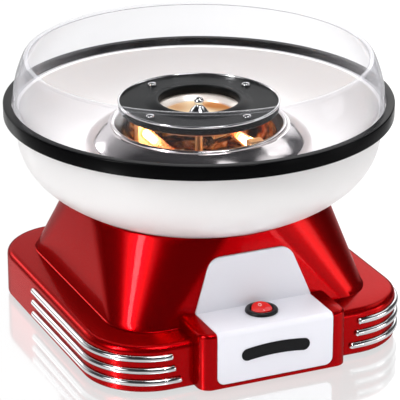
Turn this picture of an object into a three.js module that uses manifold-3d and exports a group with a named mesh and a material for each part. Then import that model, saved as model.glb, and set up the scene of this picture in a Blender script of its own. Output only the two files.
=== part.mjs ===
// Countertop cotton candy machine: red housing, white bowl, clear floss guard and a spinning head.
// Millimetres. The floor is z = 0, the spinning axle is the Z axis and the front faces -Y.

import * as THREE from 'three';
import { mergeVertices } from 'three/addons/utils/BufferGeometryUtils.js';
import Module from 'manifold-3d';

// Clearances
const seatGap = 0.3;

// Feet and plinth
const footHeight = 3.1;
const footRadius = 9;
const footInset = 27;
const plinthHalfWidth = 123.4;
const plinthHalfDepth = 123.75;
const plinthSetback = 2.75;
const plinthBottom = 3;
const plinthTop = 38;
const plinthCorner = 48;
const plinthEdgeRound = 5;
const plinthWall = 3;
const coverThickness = 2.6;
const coverScrewRadius = 1.6;
const coverScrewHead = 2.8;
const coverScrewLength = 12;
const footStemRadius = 3;
const coverBossRadius = 5;
const coverBossInset = 17;
const coverBossReach = 52;
const ventLength = 60;
const ventWidth = 4;
const ventPitch = 12;
const ventCount = 5;
const wiringHalfWidth = 21;
const wiringDepth = 24;
const wiringBottom = 15;
const towerOpeningInset = 10;
const plinthFront = plinthHalfDepth - plinthSetback;
const plinthRear = plinthHalfDepth + plinthSetback;

// Tower
const towerInset = 21;
const towerSetback = 5;
const towerFootHalfWidth = plinthHalfWidth - towerInset;
const towerFootHalfDepth = plinthHalfDepth - towerInset;
const towerFootCorner = 33;
const towerTopCorner = 76.5;
const towerLean = 0.16;
const towerTop = 96;
const towerEdgeRound = 3;
const towerWall = 3;
const deckTop = 88;
const deckThickness = 4;
const deckHoleRadius = 17;

// Control box and white panel
const boxHalfWidth = 58;
const boxProud = 15.3;
const boxFront = plinthFront + boxProud;
const boxTop = 47.3;
const boxBottom = 4.2;
const boxCorner = 9;
const boxEdgeRound = 3;
const boxWall = 3;
const boxRearY = 40;
const panelHalfWidth = 45.8;
const panelTopHalfWidth = 31.5;
const panelThickness = 2;
const panelBottom = 7;
const panelTopZ = 88;
const panelBend = 4;
const panelCorner = 6;

// Rocker switch on the shelf
const switchSetback = 24.8;
const bezelRadius = 12.1;
const bezelHeight = 2.2;
const switchNeckRadius = 10;
const switchBodyHalf = 7.6;
const switchDepth = 21;
const switchNeckLength = 9;
const bladeSpacing = 8;
const bladeWidth = 6.4;
const bladeThickness = 0.8;
const bladeLength = 7;
const rockerHalfWidth = 7.7;
const rockerHalfLength = 6.9;
const rockerTilt = 10;
const rockerPivotDrop = 3.4;
const rockerWindow = 8.5;
const rockerDepth = 4.6;
const rockerEndRise = 4.7;
const rockerDip = 0.4;
const rockerPinRadius = 1.1;
const rockerPinReach = 1.6;

// Chrome strips round the front corners
const stripCount = 3;
const stripHeight = 5;
const stripProud = 2.4;
const stripLowest = 10.6;
const stripPitch = 9.4;
const stripRearEnd = 22;
const stripDrop = 4;
const stripFrontEnd = 66.5;
const stripStagger = 4.4;

// Bowl, its black rim and the spun collar
const bowlHoleRadius = 61.6;
const bowlBottom = 88.5;
const bowlCradleRadius = 69.7;
const bowlCradleZ = 90.8;
const bowlWallRadius = 136;
const bowlTop = 167;
const bowlFullness = 3.2;
const bowlWall = 2.6;
const bowlFlangeWidth = 6.4;
const bowlFlangeThickness = 2.4;
const bowlUpstand = 8;
const rimWall = 2.6;
const rimLipGap = 0.6;
const rimSkirt = 2.6;
const rimRise = 8;
const collarMouthRadius = 62.4;
const collarRoll = 1.9;
const collarSink = 18.5;
const collarCreaseRadius = 79.5;
const collarCreaseDrop = 10.9;
const collarShoulderRadius = 82;
const collarShoulderDrop = 13.2;
const collarWallRadius = 83.7;
const collarWallDrop = 18.5;
const collarFootRadius = 87;
const collarSheet = 1.2;
const bowlFlangeRadius = bowlWallRadius + bowlFlangeWidth;
const rimRadius = bowlFlangeRadius + rimWall;
const rimInnerRadius = bowlWallRadius + rimWall;
const rimLipInner = bowlWallRadius + rimLipGap;
const rimTop = bowlTop + rimRise;
const rimBottom = bowlTop - rimSkirt;
const collarTop = rimTop - collarSink;
const collarCreaseZ = collarTop - collarCreaseDrop;
const collarShoulderZ = collarTop - collarShoulderDrop;
const collarWallZ = collarTop - collarWallDrop;

// Clear floss guard
const guardPlay = 0.5;
const guardDraft = 8.7;
const guardRise = 33.6;
const guardWall = 2.1;
const guardStraight = 5;
const guardCurve = 1.84;
const guardLip = 4;
const guardFootRadius = rimInnerRadius - guardPlay;
const guardTopRadius = guardFootRadius - guardDraft;
const guardTop = rimTop + guardRise;

// Spinning head
const headRadius = 60.4;
const headSink = 3.6;
const headRingProud = 1.7;
const headRingWidth = 1.6;
const headRingOverhang = 0.3;
const plateThickness = 2;
const plateHoleRadius = 30;
const plateHoleDrop = 2;
const plateInnerSkirt = 6;
const plateOuterSkirt = 5.2;
const panRadius = 55.5;
const panEdgeWidth = 15.5;
const panSlopeWidth = 8;
const panDrop = 11.4;
const panSheet = 1.4;
const panDepth = 5;
const hubRadius = 8;
const hubReach = 7;
const bandRadius = 54;
const bandWall = 1.2;
const bandSlots = 24;
const bandSlotWidth = 3;
const bandSlotHeight = 2.2;
const headScrewCount = 4;
const headScrewCircle = 50;
const headScrewPhase = 21;
const headScrewHead = 3.3;
const headScrewShank = 1.5;
const headScrewHeight = 2.2;
const headScrewLength = 8;
const knobBallRadius = 4;
const knobProud = 2.7;
const knobFlareRadius = 7.5;
const knobFlareEdge = 1;
const knobNeckRadius = 2.6;
const knobNeckHeight = 4.4;
const plateTop = rimTop - headSink;
const headRingTop = plateTop + headRingProud;
const panFloorZ = plateTop - panDrop;
const panRimZ = panFloorZ + panDepth;
const hubBottom = panFloorZ - hubReach;
const knobTop = plateTop + knobProud;

// Heater
const heaterCanRadius = 55;
const heaterCanWall = 1.2;
const heaterFlange = 3.4;
const dishRadius = 58.5;
const dishClearance = 4;
const dishDepth = 22;
const dishFloorRadius = 40;
const dishSheet = 1.2;
const dishHoleRadius = 9;
const tubeRadius = 4.6;
const tubeHalfLength = 32;
const tubeOffset = 31;
const tubeRise = 14;
const tubeSocketDepth = 3;
const holderWidth = 11;
const holderLength = 8;
const holderHeight = 13;
const dishTop = hubBottom - dishClearance;
const dishFloor = dishTop - dishDepth;
const tubeHeight = dishFloor + tubeRise;

// Motor and spindle
const motorRadius = 19;
const motorTop = 80;
const motorLength = 46;
const motorNeckRadius = 7;
const motorNeckHeight = 5;
const bracketHalfLength = 34;
const bracketHalfWidth = 12;
const bracketThickness = 2.5;
const bracketHoleOffset = 28;
const motorBearingRadius = 6;
const motorBearingHeight = 3;
const smallScrewRadius = 1.5;
const smallScrewHead = 2.6;
const smallScrewLength = 9;
const screwHeadHeight = 1.6;
const shaftRadius = 3;
const shaftProud = 4.5;
const pinRadius = 1;
const pinHalfLength = 6;
const pinRise = 3.5;
const shaftSocketDepth = 12;
const shaftTop = panFloorZ + shaftProud;
const pinHeight = hubBottom + pinRise;

// Cord inlet at the back
const glandSide = 62;
const glandHeight = 18;
const glandFlange = 8;
const glandNeck = 5;
const glandBore = 3.2;
const glandNose = 5;

// How finely round things are stepped
const wideSteps = 36;
const narrowSteps = 24;
const headSteps = 28;
const tinySteps = 12;
const screwSteps = 8;
const cornerSteps = 5;
const towerCornerSteps = 8;

const quarterTurn = Math.PI / 2;

const wasm = await Module();
wasm.setup();

// Geometry helpers

function closedGeometry(positions, indices) {
  const geometry = new THREE.BufferGeometry();
  geometry.setAttribute('position', new THREE.Float32BufferAttribute(positions, 3));
  geometry.setIndex(indices);
  return geometry;
}

function weld(geometry) {
  const bare = geometry.clone();
  bare.deleteAttribute('normal');
  bare.deleteAttribute('uv');
  const merged = mergeVertices(bare, 1e-4);
  const index = merged.index.array;
  const kept = [];
  for (let i = 0; i < index.length; i += 3) {
    const [a, b, c] = [index[i], index[i + 1], index[i + 2]];
    if (a !== b && b !== c && c !== a) {
      kept.push(a, b, c);
    }
  }
  merged.setIndex(kept);
  if (signedVolume(merged) < 0) {
    for (let i = 0; i < kept.length; i += 3) {
      [kept[i], kept[i + 1]] = [kept[i + 1], kept[i]];
    }
    merged.setIndex(kept);
  }
  return merged;
}

function signedVolume(geometry) {
  const p = geometry.attributes.position;
  const index = geometry.index.array;
  const [a, b, c] = [new THREE.Vector3(), new THREE.Vector3(), new THREE.Vector3()];
  let sum = 0;
  for (let i = 0; i < index.length; i += 3) {
    a.fromBufferAttribute(p, index[i]);
    b.fromBufferAttribute(p, index[i + 1]);
    c.fromBufferAttribute(p, index[i + 2]);
    sum += a.dot(b.cross(c)) / 6;
  }
  return sum;
}

function solid(geometry) {
  return new wasm.Manifold(new wasm.Mesh({
    numProp: 3,
    vertProperties: new Float32Array(geometry.attributes.position.array),
    triVerts: new Uint32Array(geometry.index.array),
  }));
}

function geometryOf(body) {
  const mesh = body.getMesh();
  return weld(closedGeometry(Array.from(mesh.vertProperties), Array.from(mesh.triVerts)));
}

function joined(first, ...rest) {
  return geometryOf(rest.reduce((body, next) => body.add(solid(next)), solid(first)));
}

function carved(first, ...rest) {
  return geometryOf(rest.reduce((body, next) => body.subtract(solid(next)), solid(first)));
}

function common(first, second) {
  return geometryOf(solid(first).intersect(solid(second)));
}

// A profile of [radius, z] pairs turned round the Z axis. It ends where it starts, or on the axis.
function turned(profile, steps = wideSteps) {
  const closes = profile[0][0] > 0 || profile[profile.length - 1][0] > 0;
  const points = profile.map(([radius, z]) => new THREE.Vector2(radius, z));
  if (closes) {
    points.push(points[0].clone());
  }
  return weld(new THREE.LatheGeometry(points, steps).rotateX(Math.PI / 2));
}

function cylinder(radius, bottom, top, steps = narrowSteps) {
  return turned([[0, bottom], [radius, bottom], [radius, top], [0, top]], steps);
}

function box(x0, x1, y0, y1, z0, z1) {
  const geometry = new THREE.BoxGeometry(x1 - x0, y1 - y0, z1 - z0);
  return weld(geometry.translate((x0 + x1) / 2, (y0 + y1) / 2, (z0 + z1) / 2));
}

function roundedOutline(halfX, halfY, radius, steps = cornerSteps) {
  const corners = [[1, 1, 0], [-1, 1, 1], [-1, -1, 2], [1, -1, 3]];
  const ring = [];
  for (const [sx, sy, quarter] of corners) {
    for (let i = 0; i <= steps; i += 1) {
      const angle = (quarter + i / steps) * Math.PI / 2;
      ring.push([
        sx * (halfX - radius) + radius * Math.cos(angle),
        sy * (halfY - radius) + radius * Math.sin(angle),
      ]);
    }
  }
  return ring;
}

// Rings of equal length joined by walls, with flat fans over both ends.
function loft(rings) {
  const count = rings[0].length;
  const positions = rings.flat(2);
  const indices = [];
  for (let r = 0; r + 1 < rings.length; r += 1) {
    for (let i = 0; i < count; i += 1) {
      const a = r * count + i;
      const b = r * count + (i + 1) % count;
      indices.push(a, b, b + count, a, b + count, a + count);
    }
  }
  const last = (rings.length - 1) * count;
  for (let i = 1; i + 1 < count; i += 1) {
    indices.push(0, i + 1, i, last, last + i, last + i + 1);
  }
  return weld(closedGeometry(positions, indices));
}

// Levels are [z, half width, half depth, corner radius].
function roundedStack(levels, steps = cornerSteps) {
  return loft(levels.map(([z, halfX, halfY, radius]) => (
    roundedOutline(halfX, halfY, radius, steps).map(([x, y]) => [x, y, z])
  )));
}

function edgeLevels(top, radius, at) {
  const levels = [];
  const steps = 3;
  for (let i = 0; i <= steps; i += 1) {
    const angle = i / steps * Math.PI / 2;
    levels.push(at(top - radius + radius * Math.sin(angle), radius * (1 - Math.cos(angle))));
  }
  return levels;
}

function extruded(outline, depth) {
  const shape = new THREE.Shape(outline.map(([x, y]) => new THREE.Vector2(x, y)));
  return weld(new THREE.ExtrudeGeometry(shape, { depth, bevelEnabled: false }));
}

function ringOfAngles(count, phase = 0) {
  return Array.from({ length: count }, (unused, i) => (phase + 360 * i / count) * Math.PI / 180);
}

// Screw with a domed head whose underside is at z = 0 and whose shank runs down.
function screwBody(headRadiusValue, headHeight, shankRadius, shankLength) {
  const profile = [[0, -shankLength], [shankRadius, -shankLength], [shankRadius, 0], [headRadiusValue, 0]];
  const steps = 2;
  for (let i = 0; i <= steps; i += 1) {
    const angle = i / steps * quarterTurn;
    profile.push([headRadiusValue * Math.cos(angle), headHeight * (0.35 + 0.65 * Math.sin(angle))]);
  }
  profile[profile.length - 1][0] = 0;
  return turned(profile, screwSteps);
}

// Materials

const finishes = {
  red: { color: 0xb00010, roughness: 0.25, metalness: 0.6 },
  white: { color: 0xeeeeee, roughness: 0.25, metalness: 0 },
  black: { color: 0x151515, roughness: 0.45, metalness: 0 },
  chrome: { color: 0xdddddd, roughness: 0.08, metalness: 1 },
  aluminium: { color: 0xc8c8cc, roughness: 0.2, metalness: 1 },
  steel: { color: 0x9a9a9e, roughness: 0.4, metalness: 1 },
  clear: { color: 0xf2f4f6, roughness: 0.05, metalness: 0, transparent: true, opacity: 0.3 },
  glow: { color: 0xff7a1a, roughness: 0.2, metalness: 0, emissive: 0xff5a00 },
  ceramic: { color: 0xe8e0d0, roughness: 0.7, metalness: 0 },
  rubber: { color: 0xf0f0ee, roughness: 0.8, metalness: 0 },
  switchRed: { color: 0xe01010, roughness: 0.3, metalness: 0 },
};

const machine = new THREE.Group();
machine.name = 'cotton_candy_machine';

function place(name, finish, body, position = [0, 0, 0]) {
  const mesh = new THREE.Mesh(body, new THREE.MeshStandardMaterial(finishes[finish]));
  mesh.name = name;
  mesh.position.set(...position);
  machine.add(mesh);
  return mesh;
}

// Plinth: a hollow red skirt with a rounded top edge, open to the tower and to the control box.

const towerFoot = plinthTop + seatGap;
const coverTop = plinthBottom + seatGap + coverThickness;
const bossX = plinthHalfWidth - coverBossInset;

function plinthOuter(grow = 0) {
  const level = (z, inset) => [
    z + grow,
    plinthHalfWidth - inset + grow,
    plinthHalfDepth - inset + grow,
    plinthCorner - inset + grow,
  ];
  const foot = [plinthBottom - 2 * grow, ...level(0, 1).slice(1)];
  return roundedStack([
    foot,
    level(plinthBottom + 1.2, 0),
    ...edgeLevels(plinthTop, plinthEdgeRound, level),
  ]).translate(0, plinthSetback, 0);
}

// The way through for the switch and its wires, from the plinth up into the control box.
function wiringSlot(bottom, top) {
  return box(-wiringHalfWidth, wiringHalfWidth, -plinthFront - boxWall, -plinthFront + wiringDepth,
    bottom, top);
}

function plinthShell() {
  const inside = roundedStack([plinthBottom - 1, plinthTop - plinthWall].map((z) => [
    z,
    plinthHalfWidth - plinthWall,
    plinthHalfDepth - plinthWall,
    plinthCorner - plinthWall,
  ])).translate(0, plinthSetback, 0);
  const opening = roundedStack([plinthTop - 2 * plinthWall, plinthTop + 1].map((z) => [
    z,
    towerFootHalfWidth - towerOpeningInset,
    towerFootHalfDepth - towerOpeningInset,
    towerFootCorner - towerOpeningInset,
  ])).translate(0, towerSetback, 0);
  const glandHole = cylinder(glandNeck + seatGap, -2 * plinthWall, 2 * plinthWall, tinySteps)
    .rotateX(quarterTurn).translate(glandSide, plinthRear, glandHeight);
  let shell = carved(plinthOuter(), inside, opening, wiringSlot(wiringBottom, plinthTop + 1), glandHole);
  for (const [sx, sy] of [[1, 1], [-1, 1], [-1, -1], [1, -1]]) {
    const boss = cylinder(coverBossRadius, coverTop + seatGap, plinthTop - plinthWall / 2, tinySteps);
    const bore = cylinder(coverScrewRadius + seatGap, plinthBottom, coverTop + coverScrewLength, tinySteps);
    shell = joined(shell, boss.translate(sx * bossX, plinthSetback + sy * coverBossReach, 0));
    shell = carved(shell, bore.translate(sx * bossX, plinthSetback + sy * coverBossReach, 0));
  }
  return shell;
}

place('plinth_shell', 'red', plinthShell());

// Bottom cover with vent slots, its screws and the four feet that plug into it.

const coverBottom = coverTop - coverThickness;
const footX = plinthHalfWidth - footInset;
const footY = plinthHalfDepth - footInset;

function bottomCover() {
  const halfX = plinthHalfWidth - plinthWall - seatGap;
  const halfY = plinthHalfDepth - plinthWall - seatGap;
  const corner = plinthCorner - plinthWall - seatGap;
  let cover = roundedStack([[coverBottom, halfX, halfY, corner], [coverTop, halfX, halfY, corner]]);
  for (let i = 0; i < ventCount; i += 1) {
    const y = (i - (ventCount - 1) / 2) * ventPitch;
    cover = carved(cover, box(-ventLength / 2, ventLength / 2, y - ventWidth / 2, y + ventWidth / 2,
      coverBottom - 1, coverTop + 1));
  }
  for (const [sx, sy] of [[1, 1], [-1, 1], [-1, -1], [1, -1]]) {
    const stemHole = cylinder(footStemRadius + seatGap, coverBottom - 1, coverTop + 1, tinySteps);
    const screwHole = cylinder(coverScrewRadius + seatGap, coverBottom - 1, coverTop + 1, tinySteps);
    cover = carved(cover, stemHole.translate(sx * footX, sy * footY, 0),
      screwHole.translate(sx * bossX, sy * coverBossReach, 0));
  }
  return cover.translate(0, plinthSetback, 0);
}

function foot() {
  return turned([
    [0, 0], [footRadius - 1, 0], [footRadius, 1], [footRadius, footHeight],
    [footStemRadius, footHeight], [footStemRadius, coverTop + 1], [0, coverTop + 1],
  ], tinySteps);
}

place('bottom_cover', 'black', bottomCover());
[[1, 1], [-1, 1], [-1, -1], [1, -1]].forEach(([sx, sy], i) => {
  place(`foot_${i + 1}`, 'rubber', foot(), [sx * footX, plinthSetback + sy * footY, 0]);
  const screw = screwBody(coverScrewHead, screwHeadHeight, coverScrewRadius, coverScrewLength)
    .rotateX(Math.PI);
  place(`cover_screw_${i + 1}`, 'steel', screw,
    [sx * bossX, plinthSetback + sy * coverBossReach, coverBottom - seatGap]);
});

// Tower: square at its foot and almost round at its top, where it has a seat for the bowl.

function towerLevel(z, inset = 0) {
  const rise = z - towerFoot;
  const share = rise / (towerTop - towerFoot);
  return [
    z,
    towerFootHalfWidth - towerLean * rise - inset,
    towerFootHalfDepth - towerLean * rise - inset,
    towerFootCorner + (towerTopCorner - towerFootCorner) * share - inset,
  ];
}

function towerOuter(grow = 0) {
  const sides = [towerFoot - 2 * grow, (towerFoot + towerTop) / 2].map((z) => towerLevel(z, -grow));
  return roundedStack([...sides, ...edgeLevels(towerTop, towerEdgeRound, (z, inset) => (
    towerLevel(z, inset - grow)
  ))], towerCornerSteps).translate(0, towerSetback, 0);
}

function bowlOuterRadius(z) {
  const share = Math.min(1, (z - bowlCradleZ) / (bowlTop - bowlCradleZ));
  return bowlCradleRadius + (bowlWallRadius - bowlCradleRadius) * (1 - (1 - share) ** bowlFullness);
}

function bowlOuterPoints() {
  const points = [[bowlHoleRadius, bowlBottom], [bowlHoleRadius + 3, bowlBottom]];
  const steps = 6;
  for (let i = 0; i <= steps; i += 1) {
    const z = bowlCradleZ + (bowlTop - bowlCradleZ) * (i / steps) ** 1.25;
    points.push([bowlOuterRadius(z), z]);
  }
  return points;
}

// The bowl's outline pushed sideways along its own normals.
function shifted(points, distance) {
  return points.map(([radius, z], i) => {
    const before = points[Math.max(0, i - 1)];
    const after = points[Math.min(points.length - 1, i + 1)];
    const run = new THREE.Vector2(after[0] - before[0], after[1] - before[1]).normalize();
    return [radius - run.y * distance, z + run.x * distance];
  });
}

function bowlSeat() {
  const cradle = shifted(bowlOuterPoints().slice(1), -seatGap - 0.2);
  return turned([[0, deckTop], [bowlHoleRadius, deckTop], ...cradle, [0, bowlTop]]);
}

function towerShell() {
  const inside = roundedStack([
    towerLevel(towerFoot - 1, towerWall),
    towerLevel(deckTop - deckThickness, towerWall),
  ], towerCornerSteps).translate(0, towerSetback, 0);
  const deckHole = cylinder(deckHoleRadius, deckTop - 2 * deckThickness, towerTop, narrowSteps);
  let shell = carved(towerOuter(), inside, bowlSeat(), deckHole);
  for (const side of [-1, 1]) {
    const hole = cylinder(smallScrewRadius + seatGap, deckTop - 2 * deckThickness, towerTop, tinySteps);
    shell = carved(shell, hole.translate(side * bracketHoleOffset, 0, 0));
  }
  return shell;
}

place('tower_shell', 'red', towerShell());

// Control box: a rounded red block in front of the plinth and on its top, up to the tower. The white
// panel lies flush in a recess that runs down its front and over its top.

const shelfZ = boxTop;
const switchY = -boxFront + switchSetback;

function boxBlock(inset, front, top, bottom) {
  const halfY = (front - boxRearY) / 2;
  const level = (z, extra) => [z, boxHalfWidth - inset - extra, halfY - extra, boxCorner - inset - extra];
  return roundedStack([level(bottom, 0), ...edgeLevels(top, boxEdgeRound, level)])
    .translate(0, -(front + boxRearY) / 2, 0);
}

function controlBox() {
  const outside = boxBlock(0, boxFront, boxTop, boxBottom);
  const lined = boxWall + panelThickness + seatGap;
  const cavity = boxBlock(boxWall, boxFront - lined, boxTop - lined, boxBottom + boxWall);
  const neckHole = cylinder(switchNeckRadius + seatGap, boxTop - 2 * lined, boxTop + 1, narrowSteps)
    .translate(0, switchY, 0);
  const slot = wiringSlot(wiringBottom + seatGap, boxTop - lined);
  const recess = panelSheet(-seatGap, panelThickness + 1, seatGap);
  return carved(outside, plinthOuter(seatGap), towerOuter(seatGap), recess, cavity, neckHole, slot);
}

// White panel: front plate, shelf and a tapering plate up the tower, bent from one sheet.

function towerFaceY(z) {
  return towerSetback - (towerFootHalfDepth - towerLean * (z - towerFoot));
}

// The sheet's side view, offset outwards from the panel's back.
function panelLine(offset) {
  const frontY = -(boxFront - panelThickness + offset);
  const topZ = boxTop - panelThickness + offset;
  const lean = Math.hypot(1, towerLean);
  const face = (z) => towerFaceY(z) - (seatGap + offset) * lean;
  const bend = panelBend - panelThickness + offset;
  const line = [[frontY, panelBottom - 1]];
  const steps = 4;
  for (let i = 0; i <= steps; i += 1) {
    const angle = i / steps * Math.PI / 2;
    line.push([frontY + bend - bend * Math.cos(angle), topZ - bend + bend * Math.sin(angle)]);
  }
  line.push([face(topZ), topZ], [face(panelTopZ + 1), panelTopZ + 1]);
  return line;
}

// The bent sheet between two offsets, trimmed to the panel's tapering outline grown by an amount.
function panelSheet(inner, outer, grow = 0) {
  const half = panelHalfWidth + grow;
  const topHalf = panelTopHalfWidth + grow;
  const corner = panelCorner + grow;
  const bottom = panelBottom - grow;
  const top = panelTopZ + grow;
  const outline = [...panelLine(outer), ...panelLine(inner).reverse()];
  const sheet = extruded(outline, 2 * half + 2)
    .rotateX(quarterTurn).rotateZ(quarterTurn).translate(-half - 1, 0, 0);
  const front = new THREE.Shape();
  const kinkZ = shelfZ + 1;
  const side = (half - topHalf) / (top - kinkZ);
  const nearTop = top - corner;
  front.moveTo(-half + corner, bottom);
  front.lineTo(half - corner, bottom);
  front.absarc(half - corner, bottom + corner, corner, -Math.PI / 2, 0);
  front.lineTo(half, kinkZ);
  front.lineTo(topHalf + side * corner, nearTop);
  front.quadraticCurveTo(topHalf, top, topHalf - corner, top);
  front.lineTo(-topHalf + corner, top);
  front.quadraticCurveTo(-topHalf, top, -topHalf - side * corner, nearTop);
  front.lineTo(-half, kinkZ);
  front.lineTo(-half, bottom + corner);
  front.absarc(-half + corner, bottom + corner, corner, Math.PI, 1.5 * Math.PI);
  const trim = weld(new THREE.ExtrudeGeometry(front, {
    depth: boxFront + boxRearY, bevelEnabled: false, curveSegments: 6,
  })).rotateX(quarterTurn);
  return common(sheet, trim);
}

function controlPanel() {
  const neckHole = cylinder(switchNeckRadius + seatGap, boxTop - 2 * panelThickness, shelfZ + 1, narrowSteps)
    .translate(0, switchY, 0);
  return carved(panelSheet(0, panelThickness), neckHole);
}

place('control_box', 'red', controlBox());
place('control_panel', 'white', controlPanel());

// Rocker switch: round bezel, neck through the shelf, body with two blades, and a red rocker.

const bezelTop = shelfZ + seatGap + bezelHeight;
const pivotZ = bezelTop - rockerPivotDrop;

function switchHousing() {
  const bezel = turned([
    [0, shelfZ + seatGap], [bezelRadius, shelfZ + seatGap], [bezelRadius, bezelTop - 0.8],
    [bezelRadius - 0.8, bezelTop], [0, bezelTop],
  ], narrowSteps);
  const neckBottom = shelfZ - switchNeckLength;
  const bodyBottom = shelfZ - switchDepth;
  const neck = cylinder(switchNeckRadius, neckBottom, shelfZ + 1, narrowSteps);
  const body = box(-switchBodyHalf, switchBodyHalf, -switchBodyHalf, switchBodyHalf, bodyBottom,
    neckBottom + 1);
  const blades = [-bladeSpacing / 2, bladeSpacing / 2].map((x) => box(x - bladeThickness / 2,
    x + bladeThickness / 2, -bladeWidth / 2, bladeWidth / 2, bodyBottom - bladeLength, bodyBottom + 1));
  const window = cylinder(rockerWindow, pivotZ - rockerDepth - 2 * seatGap, bezelTop + 1, narrowSteps);
  const pins = turnedAlongX(rockerPinRadius + seatGap, rockerHalfWidth + rockerPinReach + seatGap);
  return carved(joined(bezel, neck, body, ...blades), window, pins.translate(0, 0, pivotZ));
}

function turnedAlongX(radius, halfLength) {
  return cylinder(radius, -halfLength, halfLength, tinySteps).rotateY(quarterTurn);
}

// The rocker is drawn tilted, with its front half pressed down, which is the switched-on place.
function switchRocker() {
  const tilt = rockerTilt * Math.PI / 180;
  const end = rockerHalfLength;
  const underside = [];
  const steps = 6;
  for (let i = 0; i <= steps; i += 1) {
    const angle = Math.PI + i / steps * Math.PI;
    underside.push([end * Math.cos(angle), rockerDepth * Math.sin(angle)]);
  }
  const middleRise = rockerEndRise - end * Math.tan(tilt) - rockerDip;
  const outline = [...underside, [end, rockerEndRise], [0, middleRise], [-end, rockerEndRise]];
  const body = extruded(outline, 2 * rockerHalfWidth)
    .rotateX(quarterTurn).rotateZ(quarterTurn).translate(-rockerHalfWidth, 0, 0);
  const oval = cylinder(1, -2 * rockerDepth, 2 * rockerEndRise, narrowSteps)
    .scale(rockerHalfWidth, rockerHalfLength, 1);
  const pins = turnedAlongX(rockerPinRadius, rockerHalfWidth + rockerPinReach);
  return joined(common(body, oval), pins).rotateX(tilt);
}

place('switch_housing', 'black', switchHousing(), [0, switchY, 0]);
place('switch_rocker', 'switchRed', switchRocker(), [0, switchY, pivotZ]);

// Chrome strips: half-round bars that wrap each front corner, with rounded ends.

function stripPath(level) {
  const frontEnd = stripFrontEnd + level * stripStagger;
  const cornerX = plinthHalfWidth - plinthCorner;
  const cornerY = -(plinthFront - plinthCorner);
  const out = plinthCorner + seatGap;
  const stations = [
    [frontEnd, -(plinthFront + seatGap), 0, -1],
  ];
  const steps = 5;
  for (let i = 0; i <= steps; i += 1) {
    const angle = (-0.5 + 0.5 * i / steps) * Math.PI;
    const x = cornerX + out * Math.cos(angle);
    if (x > frontEnd + stripHeight) {
      stations.push([x, cornerY + out * Math.sin(angle), Math.cos(angle), Math.sin(angle)]);
    }
  }
  stations.push([plinthHalfWidth + seatGap, stripRearEnd, 1, 0]);
  return stations;
}

function stripRing([x, y, nx, ny], z, scale) {
  const ring = [];
  const steps = 5;
  for (let i = 0; i <= steps; i += 1) {
    const angle = (i / steps - 0.5) * Math.PI;
    const out = stripProud * Math.cos(angle) * scale;
    ring.push([x + nx * out, y + ny * out, z + stripHeight / 2 * Math.sin(angle) * scale]);
  }
  return ring;
}

function cornerStrip(level) {
  const stations = stripPath(level);
  const z = stripLowest + level * stripPitch;
  const sideStart = -(plinthFront - plinthCorner);
  const heightAt = (y) => z - stripDrop * Math.max(0, (y - sideStart) / (stripRearEnd - sideStart));
  const rings = [];
  const endSteps = [[0.25, 0], [0.75, 0.7], [1, stripHeight / 2]];
  const first = stations[0];
  const last = stations[stations.length - 1];
  for (const [scale, along] of endSteps) {
    rings.push(stripRing([first[0] + along, first[1], first[2], first[3]], z, scale));
  }
  for (const station of stations.slice(1, -1)) {
    rings.push(stripRing(station, heightAt(station[1]), 1));
  }
  for (const [scale, along] of endSteps.slice().reverse()) {
    const y = last[1] - along;
    rings.push(stripRing([last[0], y, last[2], last[3]], heightAt(y), scale));
  }
  return loft(rings);
}

for (const [side, sign] of [['right', 1], ['left', -1]]) {
  for (let level = 0; level < stripCount; level += 1) {
    const strip = sign > 0 ? cornerStrip(level) : weld(cornerStrip(level).scale(-1, 1, 1));
    place(`trim_${side}_${level + 1}`, 'chrome', strip);
  }
}

// Cord inlet: a flanged bush through the back of the plinth.

function cordGland() {
  const wallOut = seatGap;
  const wallIn = -plinthWall - seatGap;
  const nutBottom = wallIn - 3;
  const nutRadius = glandNeck + 2;
  return turned([
    [glandBore, nutBottom], [nutRadius, nutBottom], [nutRadius, wallIn], [glandNeck, wallIn],
    [glandNeck, wallOut], [glandFlange, wallOut], [glandFlange, wallOut + 2],
    [glandNeck, wallOut + glandNose], [glandBore, wallOut + glandNose],
  ], tinySteps).rotateX(-quarterTurn);
}

place('cord_gland', 'black', cordGland(), [glandSide, plinthRear, glandHeight]);

// Motor under the deck, with its bracket, screws, shaft and drive pin.

function motorCan() {
  const bottom = motorTop - motorLength;
  const bearingBottom = bottom - motorBearingHeight;
  const neckTop = motorTop + motorNeckHeight;
  const can = turned([
    [0, bearingBottom], [motorBearingRadius, bearingBottom], [motorBearingRadius, bottom],
    [motorRadius - 2, bottom], [motorRadius, bottom + 2], [motorRadius, motorTop - 1],
    [motorRadius - 1, motorTop], [motorNeckRadius, motorTop], [motorNeckRadius, neckTop], [0, neckTop],
  ], 2 * screwSteps);
  return carved(can, cylinder(shaftRadius + seatGap, motorTop - shaftSocketDepth, neckTop + 1, tinySteps));
}

function motorBracket() {
  const bottom = deckTop - deckThickness - seatGap - bracketThickness;
  const plate = box(-bracketHalfLength, bracketHalfLength, -bracketHalfWidth, bracketHalfWidth,
    bottom, bottom + bracketThickness);
  const hole = cylinder(motorNeckRadius + seatGap, bottom - 1, bottom + bracketThickness + 1, tinySteps);
  const screwHoles = [-1, 1].map((side) => cylinder(smallScrewRadius + seatGap, bottom - 1,
    bottom + bracketThickness + 1, tinySteps).translate(side * bracketHoleOffset, 0, 0));
  return carved(plate, hole, ...screwHoles);
}

place('motor', 'steel', motorCan());
place('motor_bracket', 'steel', motorBracket());
[-1, 1].forEach((side, i) => {
  const screw = screwBody(smallScrewHead, screwHeadHeight, smallScrewRadius, smallScrewLength)
    .rotateX(Math.PI);
  const underBracket = deckTop - deckThickness - 2 * seatGap - bracketThickness;
  place(`motor_screw_${i + 1}`, 'steel', screw, [side * bracketHoleOffset, 0, underBracket]);
});

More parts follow.
